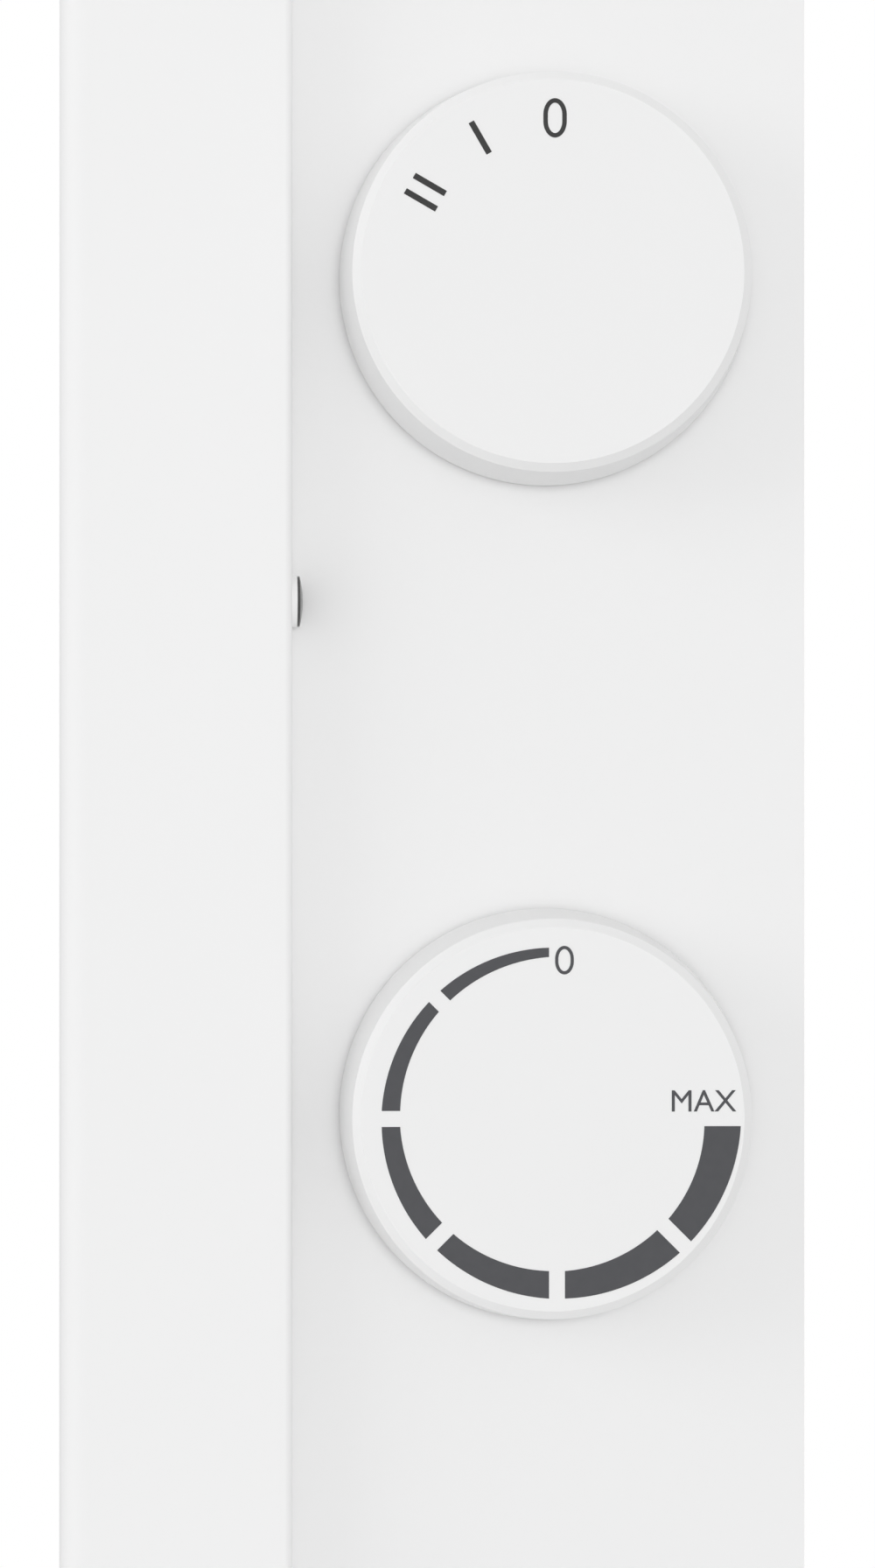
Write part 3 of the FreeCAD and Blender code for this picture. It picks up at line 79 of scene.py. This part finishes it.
def new_finish(name):
    finish = bpy.data.materials.new(name)
    finish.use_nodes = True
    finish.node_tree.nodes.clear()
    return finish, Shade(finish.node_tree)


def grain(shade, size, detail=2.0, stretch=(1, 1, 1)):
    """Soft noise from 0 to 1 whose lumps are about the given size in metres, drawn out by the stretch."""
    place = shade.node("TexCoord", out="Object")
    drawn = shade.node("Mapping", {}, {"Vector": place, "Scale": [1 / (size * part) for part in stretch]})
    return shade.node("TexNoise", {}, {"Vector": drawn, "Scale": 1.0, "Detail": detail})


def between(shade, amount, first, second):
    """A colour between two greys or two colours."""
    amount_in, first_in, second_in, colour_out = 0, 6, 7, 2
    sockets = {amount_in: amount}
    for socket, tone in ((first_in, first), (second_in, second)):
        sockets[socket] = (tone, tone, tone, 1) if isinstance(tone, float) else (*tone, 1)
    return shade.node("Mix", {"data_type": "RGBA"}, sockets, out=colour_out)


def coat(finish, shade, colour, roughness, height, depth, constants=None):
    """Ends a finish: height is the relief from 0 to 1, and depth how deep it is in metres."""
    relief = shade.node("Bump", {}, {"Strength": 1.0, "Distance": depth, "Height": height})
    sockets = {"Base Color": colour, "Roughness": roughness, "Normal": relief}
    sockets.update(constants or {})
    surface = shade.node("BsdfPrincipled", {}, sockets)
    shade.node("OutputMaterial", {}, {"Surface": surface})
    return finish


def dress(finish, *names):
    """Gives CAD nodes a finish."""
    for name in names:
        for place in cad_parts[name].material_slots:
            place.material = finish


def powder_coat(name, thin, thick):
    finish, shade = new_finish(name)
    film = grain(shade, size=0.045)
    peel = grain(shade, size=0.0016, detail=1.0)
    colour = between(shade, film, thin, thick)
    return coat(finish, shade, colour, roughness=0.40 + 0.10 * film, height=peel, depth=0.000006)


# The front tray's coat is a shade paler than that of the other five panels.
dress(powder_coat("front_coat", thin=0.905, thick=0.920), "front_panel")
dress(powder_coat("rear_coat", thin=0.895, thick=0.910),
      "side_panel_left", "side_panel_right", "top_panel", "bottom_panel", "rear_panel")


# Grilles and feet: white mouldings. The outlet's leaning slats and the inlet's bars snap into the top and
# bottom panels, and the hollow feet are screwed under the bottom panel. Fine spark-eroded grain, and a
# faint grey where the plastic has flowed along the mould.
def moulded_white():
    finish, shade = new_finish("moulded_white")
    flow = grain(shade, size=0.03, stretch=(3, 1, 1))
    spark = grain(shade, size=0.0005, detail=3.0)
    colour = between(shade, flow, 0.83, 0.855)
    return coat(finish, shade, colour, roughness=0.46 + 0.14 * spark, height=spark, depth=0.000012)


dress(moulded_white(), "outlet_grille", "inlet_grille", "foot_left", "foot_right")


# Foot pads, grommets, gland and black housings: soft rubber pads glued into the feet, rubber grommets in
# the divider, a moulded gland pressed into the back, and the moulded cases of the controls. All are dull,
# with a little bloom.
def matt_black(name, tone, bloom, pit_size, depth):
    finish, shade = new_finish(name)
    dust = grain(shade, size=0.006, detail=4.0)
    pits = grain(shade, size=pit_size, detail=3.0)
    colour = between(shade, dust, tone, bloom)
    return coat(finish, shade, colour, roughness=0.55 + 0.25 * pits, height=pits, depth=depth)


dress(matt_black("rubber", tone=0.018, bloom=0.034, pit_size=0.0006, depth=0.00003),
      "foot_pads", "wire_grommets")
dress(matt_black("black_moulding", tone=0.022, bloom=0.038, pit_size=0.0004, depth=0.000015),
      "cord_gland", "switch_body", "indicator_holder", "tip_switch", "thermal_cutout")


# Heating element: an extruded aluminium body with fins, pushed over a sheathed steel core. Die lines run
# along the extrusion, and the metal has dulled a little with heat.
bare_metal = {"Metallic": 1.0}


def extruded_aluminium():
    finish, shade = new_finish("extruded_aluminium")
    die_lines = grain(shade, size=0.0008, detail=3.0, stretch=(400, 1, 1))
    bloom = grain(shade, size=0.02)
    colour = between(shade, bloom, (0.56, 0.56, 0.57), (0.68, 0.68, 0.68))
    roughness = 0.30 + 0.22 * die_lines
    return coat(finish, shade, colour, roughness, height=die_lines, depth=0.00003, constants=bare_metal)


dress(extruded_aluminium(), "element_fins")


# Ceramic bushes and end caps: pressed steatite, unglazed and chalky. They hold the element's core in its
# brackets and keep the live pins away from the steel.
def steatite():
    finish, shade = new_finish("steatite")
    grit = grain(shade, size=0.0007, detail=5.0)
    stain = grain(shade, size=0.008)
    colour = between(shade, stain, (0.74, 0.71, 0.63), (0.82, 0.79, 0.72))
    return coat(finish, shade, colour, roughness=0.62 + 0.2 * grit, height=grit, depth=0.00004)


dress(steatite(), "element_bushes", "element_caps")


# Brackets, divider, control plates, shafts and fixings: zinc plated steel, with the soft spangle of the
# plating and fine rolling lines.
def zinc_plate():
    finish, shade = new_finish("zinc_plate")
    spangle = grain(shade, size=0.004, detail=4.0)
    rolled = grain(shade, size=0.0005, stretch=(1, 1, 60))
    colour = between(shade, spangle, (0.54, 0.54, 0.54), (0.68, 0.68, 0.67))
    roughness = 0.28 + 0.2 * spangle
    return coat(finish, shade, colour, roughness, height=rolled, depth=0.000008, constants=bare_metal)


zinc = zinc_plate()
dress(zinc, "element_core", "element_pins", "element_bracket_left", "element_bracket_right",
      "divider_panel", "switch_plate", "thermostat_plate", "mode_shaft", "thermostat_shaft", "bulb_clip",
      "foot_nuts")


# Thermostat housing and terminal block: pale heat resistant mouldings, held by the control screws and by a
# screw through the floor of the casing.
def pale_moulding():
    finish, shade = new_finish("pale_moulding")
    flow = grain(shade, size=0.012, stretch=(1, 1, 2))
    spark = grain(shade, size=0.0004, detail=3.0)
    colour = between(shade, flow, (0.66, 0.64, 0.57), (0.74, 0.72, 0.66))
    return coat(finish, shade, colour, roughness=0.42 + 0.15 * spark, height=spark, depth=0.000015)


dress(pale_moulding(), "thermostat_body", "terminal_block")


# Push-on tabs of the controls, and the thermostat's bulb and capillary: stamped brass and drawn copper.
# Both show draw lines and a little tarnish.
def drawn_metal(name, dull, bright, stretch):
    finish, shade = new_finish(name)
    lines = grain(shade, size=0.0004, detail=3.0, stretch=stretch)
    tarnish = grain(shade, size=0.005, detail=3.0)
    colour = between(shade, tarnish, dull, bright)
    roughness = 0.25 + 0.2 * tarnish
    return coat(finish, shade, colour, roughness, height=lines, depth=0.00001, constants=bare_metal)


dress(drawn_metal("tab_brass", dull=(0.60, 0.48, 0.25), bright=(0.74, 0.63, 0.38), stretch=(40, 1, 1)),
      "cutout_tabs", "switch_tabs", "thermostat_tabs", "tip_switch_tabs")
dress(drawn_metal("drawn_copper", dull=(0.58, 0.30, 0.20), bright=(0.74, 0.43, 0.30), stretch=(1, 1, 40)),
      "capillary_tube", "sensor_bulb")


# Internal wires: silicone insulation, matt and a little dusty, coloured by what the wires carry. They run
# from tab to tab in the control bay, and through the divider's grommets to the element.
def insulation(name, colour):
    finish, shade = new_finish(name)
    dust = grain(shade, size=0.009, detail=3.0)
    skin = grain(shade, size=0.0006)
    paler = [0.85 * part + 0.12 for part in colour]
    dusty = between(shade, dust, colour, paler)
    return coat(finish, shade, dusty, roughness=0.5 + 0.15 * skin, height=skin, depth=0.00001)


dress(insulation("white_wire", (0.78, 0.78, 0.75)),
      "wire_low", "wire_high", "wire_return", "wire_cutout", "wire_switched")
dress(insulation("brown_wire", (0.20, 0.09, 0.045)), "wire_supply")
dress(insulation("blue_wire", (0.045, 0.15, 0.42)), "wire_neutral", "wire_lamp")
dress(insulation("green_wire", (0.18, 0.42, 0.09)), "wire_earth")


# Screws: zinc plated pan heads with a cross recess, 6 mm across on a 3.5 mm shank. They clamp the panels,
# the brackets, the controls and the divider; larger ones of the same form hold the feet.
def deselect():
    if bpy.context.object and bpy.context.object.mode != "OBJECT":
        bpy.ops.object.mode_set(mode="OBJECT")
    bpy.ops.object.select_all(action="DESELECT")


def pick(piece, wanted):
    """Selects the faces of a piece that the test wants, and goes to edit mode."""
    bpy.ops.object.mode_set(mode="EDIT")
    bpy.ops.mesh.select_mode(type="FACE")
    bpy.ops.mesh.select_all(action="DESELECT")
    bpy.ops.object.mode_set(mode="OBJECT")
    for face in piece.data.polygons:
        face.select = wanted(face)
    bpy.ops.object.mode_set(mode="EDIT")


nearly_level = 0.99
crease = math.radians(35)


def faces_up(face):
    return face.normal.z > nearly_level


def faces_down(face):
    return face.normal.z < -nearly_level


def pan_head_screw(head, rise, shank, length):
    """A screw that points down, with the underside of its head at height 0."""
    rounding, point = rise * 0.55, shank * 0.25
    blade_span, blade_width, blade_height = head * 0.52, head * 0.13, rise * 1.1
    deselect()
    bpy.ops.mesh.primitive_cylinder_add(vertices=32, radius=head / 2, depth=rise,
                                        location=(0, 0, rise / 2))
    screw = bpy.context.object
    bpy.ops.object.transform_apply(location=True)
    pick(screw, faces_up)
    bpy.ops.mesh.bevel(offset=rounding, segments=4, profile=0.6)
    pick(screw, faces_down)
    bpy.ops.mesh.inset(thickness=(head - shank) / 2)
    bpy.ops.mesh.extrude_region_move(TRANSFORM_OT_translate={"value": (0, 0, -length)})
    bpy.ops.mesh.bevel(offset=point, segments=1)
    bpy.ops.object.mode_set(mode="OBJECT")
    for turn in (0, math.pi / 2):
        deselect()
        bpy.ops.mesh.primitive_cube_add(size=1, location=(0, 0, rise), rotation=(0, 0, turn),
                                        scale=(blade_span, blade_width, blade_height))
        blade = bpy.context.object
        deselect()
        screw.select_set(True)
        bpy.context.view_layer.objects.active = screw
        recess = screw.modifiers.new("recess", "BOOLEAN")
        recess.object = blade
        recess.operation = "DIFFERENCE"
        bpy.ops.object.modifier_apply(modifier="recess")
        bpy.data.objects.remove(blade)
    bpy.ops.object.shade_smooth_by_angle(angle=crease)
    return screw


def head_places(node, axis, side):
    """Middle of each screw head of a CAD group. All its heads end at the group's own limit on that side."""
    flatness, head_span = 0.00002, 0.005
    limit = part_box(node)[1 if side > 0 else 0][axis]
    corners = [corner.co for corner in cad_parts[node].data.vertices]
    groups = []
    for top in [corner for corner in corners if abs(corner[axis] - limit) < flatness]:
        group = next((known for known in groups if (known[0] - top).length < head_span), None)
        if group is None:
            groups.append([top])
        else:
            group.append(top)
    for group in groups:
        yield Vector([(min(c[i] for c in group) + max(c[i] for c in group)) / 2 for i in range(3)])


def fit_screws(node, pattern, rise, *ways):
    """One piece with a copy of the pattern at every head of a CAD group. A way is an axis and a side.
    Each screw stops at an angle of its own.
    """
    spin_step = 0.9
    copies = []
    for axis, side in ways:
        out = Vector([side if i == axis else 0 for i in range(3)])
        tilt = out.to_track_quat("Z", "Y").to_matrix().to_4x4()
        for number, top in enumerate(head_places(node, axis, side)):
            copy = bpy.data.objects.new(node + "_fitted", pattern.data.copy())
            bpy.context.scene.collection.objects.link(copy)
            spin = Matrix.Rotation(spin_step * number + axis, 4, "Z")
            copy.data.transform(Matrix.Translation(top - out * rise) @ tilt @ spin)
            copies.append(copy)
    deselect()
    for copy in copies:
        copy.select_set(True)
    bpy.context.view_layer.objects.active = copies[0]
    bpy.ops.object.join()
    group = bpy.context.object
    group.data.materials.clear()
    group.data.materials.append(zinc)
    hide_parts(node)
    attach(group, "casing")


above, below, behind, dial_side = (2, 1), (2, -1), (1, 1), (0, 1)
screw_rise, foot_screw_rise = 0.002, 0.003
small_screw = pan_head_screw(head=0.006, rise=screw_rise, shank=0.0035, length=0.007)
foot_screw = pan_head_screw(head=0.009, rise=foot_screw_rise, shank=0.005, length=0.010)
fit_screws("casing_screws", small_screw, screw_rise, above, below)
fit_screws("base_screws", small_screw, screw_rise, below)
fit_screws("rear_screws", small_screw, screw_rise, behind)
fit_screws("flange_screws", small_screw, screw_rise, behind)
fit_screws("control_screws", small_screw, screw_rise, dial_side)
fit_screws("divider_screws", small_screw, screw_rise, dial_side)
fit_screws("foot_screws", foot_screw, foot_screw_rise, below)
for pattern in (small_screw, foot_screw):
    bpy.data.objects.remove(pattern)


# Indicator lens: a smoked dome that stands on a low white collar; the collar's white is a painted
# highlight, standing in for the bright reflection on the lens's wall. Its stem snaps through the collar and
# the rear lip of the front tray into the lamp's black holder.
def lens_dome(width, crown, wall, foot, stem, length):
    """A domed cap that points up: a straight wall from the foot to the wall's height, the crown on top,
    and a stem that goes down to the length below height 0.
    """
    ball = (width * width / 4 + crown * crown) / (2 * crown)
    deselect()
    bpy.ops.mesh.primitive_uv_sphere_add(segments=64, ring_count=96, radius=ball,
                                         location=(0, 0, wall + crown - ball))
    dome = bpy.context.object
    bpy.ops.object.transform_apply(location=True)
    bpy.ops.object.mode_set(mode="EDIT")
    bpy.ops.mesh.select_all(action="SELECT")
    bpy.ops.mesh.bisect(plane_co=(0, 0, wall), plane_no=(0, 0, 1), use_fill=True, clear_inner=True,
                        threshold=0.0000001)
    pick(dome, faces_down)
    bpy.ops.mesh.extrude_region_move(TRANSFORM_OT_translate={"value": (0, 0, foot - wall)})
    bpy.ops.mesh.inset(thickness=(width - stem) / 2)
    bpy.ops.mesh.extrude_region_move(TRANSFORM_OT_translate={"value": (0, 0, -foot - length)})
    bpy.ops.object.mode_set(mode="OBJECT")
    bpy.ops.object.shade_smooth_by_angle(angle=crease)
    return dome


def is_disc(face):
    return len(face.vertices) > 4


def lens_collar(width, bore, rise):
    """A low ring under the dome, its upper outer edge broken and its bore cut from disc to disc."""
    broken = rise * 0.12
    deselect()
    bpy.ops.mesh.primitive_cylinder_add(vertices=64, radius=width / 2, depth=rise,
                                        location=(0, 0, rise / 2))
    collar = bpy.context.object
    bpy.ops.object.transform_apply(location=True)
    pick(collar, faces_up)
    bpy.ops.mesh.bevel(offset=broken, segments=2)
    for wanted, edge in ((faces_up, broken), (faces_down, 0)):
        pick(collar, wanted)
        bpy.ops.mesh.inset(thickness=(width - bore) / 2 - edge)
    pick(collar, is_disc)
    bpy.ops.mesh.bridge_edge_loops()
    bpy.ops.mesh.select_all(action="SELECT")
    bpy.ops.mesh.normals_make_consistent(inside=False)
    bpy.ops.object.mode_set(mode="OBJECT")
    bpy.ops.object.shade_smooth_by_angle(angle=crease)
    return collar


def lens_plastic(name, thin, thick, roughness, constants=None):
    finish, shade = new_finish(name)
    ripple = grain(shade, size=0.0012)
    colour = between(shade, ripple, thin, thick)
    return coat(finish, shade, colour, roughness + 0.10 * ripple, height=ripple, depth=0.000003,
                constants=constants)


lens_low, lens_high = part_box("indicator_lens")
lens_root = Vector(((lens_low.x + lens_high.x) / 2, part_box("front_panel")[1].y,
                    (lens_low.z + lens_high.z) / 2))
lens_width, lens_stem, lens_play, collar_rise = 0.0055, 0.0047, 0.00006, 0.00064
dome = lens_dome(lens_width, crown=0.00036, wall=0.00090, foot=collar_rise, stem=lens_stem,
                 length=lens_root.y - lens_low.y)
collar = lens_collar(lens_width + lens_play, bore=lens_stem + lens_play, rise=collar_rise)
smoked = lens_plastic("smoked_plastic", thin=0.060, thick=0.075, roughness=0.12,
                      constants={"Specular IOR Level": 0.35})
# The collar's near-white colour is a painted highlight: it stands in for the bright reflection on the lens.
white = lens_plastic("collar_painted_highlight", thin=0.92, thick=0.94, roughness=0.30)
backwards = Vector((0, 1, 0)).to_track_quat("Z", "Y").to_matrix().to_4x4()
for name, piece, finish in (("lens_dome", dome, smoked), ("lens_collar", collar, white)):
    piece.name = name
    piece.data.transform(Matrix.Translation(lens_root) @ backwards)
    piece.data.materials.append(finish)
    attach(piece, "casing")
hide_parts("indicator_lens")


# Dials: two hollow white knobs pushed on to the D shafts. Their plastic is finer than the other mouldings',
# nearly smooth, with a trace of grain.
def knob_plastic():
    finish, shade = new_finish("knob_plastic")
    flow = grain(shade, size=0.02)
    spark = grain(shade, size=0.0004)
    colour = between(shade, flow, 0.885, 0.900)
    return coat(finish, shade, colour, roughness=0.44 + 0.08 * spark, height=spark, depth=0.000003)


dress(knob_plastic(), "mode_knob", "thermostat_knob")


# Marks on the dials: pad printed in dark grey ink, a film about 0.03 mm thick. The upper dial has the stops
# 0, I and II; the lower one has a band that widens from 0 to the maximum. They turn with the dials.
def printed_ink(name, thin, full):
    finish, shade = new_finish(name)
    cover = grain(shade, size=0.0012, detail=3.0)
    colour = between(shade, cover, thin, full)
    return coat(finish, shade, colour, roughness=0.50 + 0.12 * cover, height=cover, depth=0.000004)


ink_film = 0.00003
ink_sunk = 0.00002


def print_middle(node, across, up):
    """The middle of a dial's print, which the pad has laid a little off the centre of the dial's face."""
    low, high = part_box(node)
    return Vector((high.x, (low.y + high.y) / 2 + across, (low.z + high.z) / 2 + up))


def print_on(face, marks, name, ink, body):
    """Gives flat marks, drawn to the right and up, the ink's thickness and lays them on a dial's face."""
    deselect()
    for mark in marks:
        mark.select_set(True)
    bpy.context.view_layer.objects.active = marks[0]
    bpy.ops.object.join()
    prints = bpy.context.object
    prints.name = name
    bpy.ops.object.mode_set(mode="EDIT")
    bpy.ops.mesh.select_all(action="SELECT")
    bpy.ops.mesh.normals_make_consistent(inside=False)
    bpy.ops.object.mode_set(mode="OBJECT")
    film = prints.modifiers.new("film", "SOLIDIFY")
    film.thickness = ink_film + ink_sunk
    film.offset = 0
    bpy.ops.object.modifier_apply(modifier="film")
    proud = (ink_film - ink_sunk) / 2
    across, up, out = Vector((0, 1, 0)), Vector((0, 0, 1)), Vector((1, 0, 0))
    lie = Matrix((across, up, out)).transposed().to_4x4()
    prints.data.transform(Matrix.Translation(face + out * proud) @ lie)
    prints.data.materials.clear()
    prints.data.materials.append(ink)
    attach(prints, body)


def flat_plate(width, height):
    """A plate in the middle of the dial, left in edit mode with all of it selected."""
    deselect()
    bpy.ops.mesh.primitive_plane_add(size=1)
    plate = bpy.context.object
    bpy.ops.object.mode_set(mode="EDIT")
    bpy.ops.mesh.select_all(action="SELECT")
    bpy.ops.transform.resize(value=(width, height, 1))
    return plate


def bar(width, height):
    """An upright stroke with its corners just broken."""
    broken = width * 0.06
    plate = flat_plate(width, height)
    bpy.ops.mesh.bevel(offset=broken, segments=2, affect="VERTICES")
    bpy.ops.object.mode_set(mode="OBJECT")
    return plate


def zero(width, height, stroke):
    """A narrow nought: a plate with its corners rounded right away, opened by an inset of one stroke."""
    squeeze, rounding = 0.72, width * 0.499
    plate = flat_plate(width, height * squeeze)
    bpy.ops.mesh.bevel(offset=rounding, segments=16, affect="VERTICES")
    bpy.ops.mesh.select_all(action="SELECT")
    bpy.ops.transform.resize(value=(1, 1 / squeeze, 1))
    bpy.ops.mesh.inset(thickness=stroke)
    bpy.ops.mesh.delete(type="FACE")
    bpy.ops.object.mode_set(mode="OBJECT")
    return plate


def word(letters, cap_height):
    """A flat word whose lower right corner is at the origin."""
    deselect()
    bpy.ops.object.text_add()
    text = bpy.context.object
    text.data.body = letters
    text.data.align_x = "RIGHT"
    bpy.ops.object.convert(target="MESH")
    size = cap_height / text.dimensions.y
    text.data.transform(Matrix.Scale(size, 4))
    right = max(corner.co.x for corner in text.data.vertices)
    text.data.transform(Matrix.Translation((-right, 0, 0)))
    return text


def put(mark, across, up):
    mark.data.transform(Matrix.Translation((across, up, 0)))
    return mark


def swing(mark, angle):
    """Turns a mark round the middle of the dial."""
    mark.data.transform(Matrix.Rotation(angle, 4, "Z"))
    return mark


stop_radius, stop_step = 0.0160, math.radians(30)
bar_width, bar_length, bar_spacing = 0.00065, 0.00385, 0.0019
stops = [put(zero(width=0.0025, height=0.0042, stroke=0.00048), across=0, up=stop_radius)]
for stop in (1, 2):
    for place in range(stop):
        aside = (place - (stop - 1) / 2) * bar_spacing
        mark = put(bar(bar_width, bar_length), across=aside, up=stop_radius)
        stops.append(swing(mark, stop * stop_step))
stop_ink = printed_ink("stop_ink", thin=0.040, full=0.030)
print_on(print_middle("mode_knob", across=0.00022, up=0.00035), stops, "mode_marks", stop_ink, "mode_dial")

band_radius, band_thin, band_thick = 0.01775, 0.0010, 0.0039
segment_count, band_sweep, segment_gap = 6, math.radians(270), 0.0017
segment_steps = 24


def band_segment(number):
    """One piece of the widening band: a strip of squares wrapped round the dial, its ends cut square."""
    deselect()
    bpy.ops.mesh.primitive_grid_add(x_subdivisions=segment_steps, y_subdivisions=1, size=1)
    strip = bpy.context.object
    for corner in strip.data.vertices:
        along, across = corner.co.x + 0.5, corner.co.y
        share = (number + along) / segment_count
        radius = band_radius + across * (band_thin + (band_thick - band_thin) * share)
        trim = math.asin(segment_gap / 2 / radius) * (1 - 2 * along)
        angle = share * band_sweep + trim
        corner.co = (-radius * math.sin(angle), radius * math.cos(angle), 0)
    return strip


scale_marks = [band_segment(number) for number in range(segment_count)]
scale_marks.append(put(zero(width=0.0020, height=0.00305, stroke=0.00035), across=0.0008, up=0.0169))
scale_marks.append(put(word("MAX", cap_height=0.00228), across=0.0192, up=0.00072))
scale_ink = printed_ink("scale_ink", thin=(0.080, 0.081, 0.088), full=(0.070, 0.071, 0.077))
print_on(print_middle("thermostat_knob", across=0.00042, up=0.00008), scale_marks, "thermostat_marks",
         scale_ink, "thermostat_dial")


# Studio: a pale floor, a white surround, a soft light square on to the dial side and a weaker one on the
# front. The camera looks at the dial side from 0.75 m, level with the front face, as the photograph does.
plain_white = (1, 1, 1, 1)


def pale_floor(near, far):
    """A floor that is lit and shaded up to the near distance and plain white from the far one on."""
    deselect()
    bpy.ops.mesh.primitive_plane_add(size=80)
    floor = bpy.context.object
    floor.name = "floor"
    finish, shade = new_finish("pale_floor")
    cloud = grain(shade, size=0.8)
    lit = shade.node("BsdfDiffuse", {}, {"Color": between(shade, cloud, 0.90, 0.92)})
    bright = shade.node("Emission", {}, {"Color": plain_white, "Strength": 1.0})
    place = shade.node("TexCoord", out="Object")
    reach = shade.node("VectorMath", {"operation": "LENGTH"}, {0: place}, out="Value")
    fade = shade.node("MapRange", {"interpolation_type": "SMOOTHSTEP"}, {0: reach, 1: near, 2: far})
    seen = shade.node("LightPath", out="Is Camera Ray")
    both = shade.node("MixShader", {}, {0: fade * seen, 1: lit, 2: bright})
    shade.node("OutputMaterial", {}, {"Surface": both})
    floor.data.materials.append(finish)


def white_surround(strength):
    """Soft light from all round. It looks white itself, whatever its strength."""
    world = bpy.data.worlds.new("surround")
    world.use_nodes = True
    world.node_tree.nodes.clear()
    shade = Shade(world.node_tree)
    seen = shade.node("LightPath", out="Is Camera Ray")
    for kind in ("Is Glossy Ray", "Is Transmission Ray"):
        seen = shade.maths("MAXIMUM", seen, shade.node("LightPath", out=kind))
    level = strength + (1 - strength) * seen
    light = shade.node("Background", {}, {"Color": plain_white, "Strength": level})
    shade.node("OutputWorld", {}, {"Surface": light})
    bpy.context.scene.world = world


def soft_sun(name, towards, share, spread):
    """A soft light. Its share is how much of a white face's full brightness it gives square on.
    Satin faces mirror the surround but not this light, which would burn them out when seen at a slant.
    """
    deselect()
    bpy.ops.object.light_add(type="SUN")
    lamp = bpy.context.object
    lamp.name = name
    lamp.data.energy = share * math.pi
    lamp.data.angle = math.radians(spread)
    lamp.visible_glossy = False
    lamp.rotation_euler = Vector(towards).to_track_quat("Z", "Y").to_euler()


pale_floor(near=0.5, far=1.5)
white_surround(strength=0.67)
soft_sun("dial_side_light", towards=(1.0, 0.03, 0.02), share=0.385, spread=15)
soft_sun("front_light", towards=(0.4, -0.9, 0.1), share=0.21, spread=50)

side_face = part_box("side_panel_right")[1].x
camera_distance, camera_lens = 0.75, 158.76
camera_side, camera_height = -0.039, 0.3156
aim_side, aim_height = 0.0005, 0.3173
deselect()
bpy.ops.object.camera_add()
camera = bpy.context.object
camera.location = (side_face + camera_distance, camera_side, camera_height)
camera.data.lens = camera_lens
camera.data.clip_end = 200
aim = Vector((side_face, aim_side, aim_height)) - camera.location
camera.rotation_euler = aim.to_track_quat("-Z", "Y").to_euler()
bpy.context.scene.camera = camera
bpy.context.scene.view_settings.view_transform = "Standard"
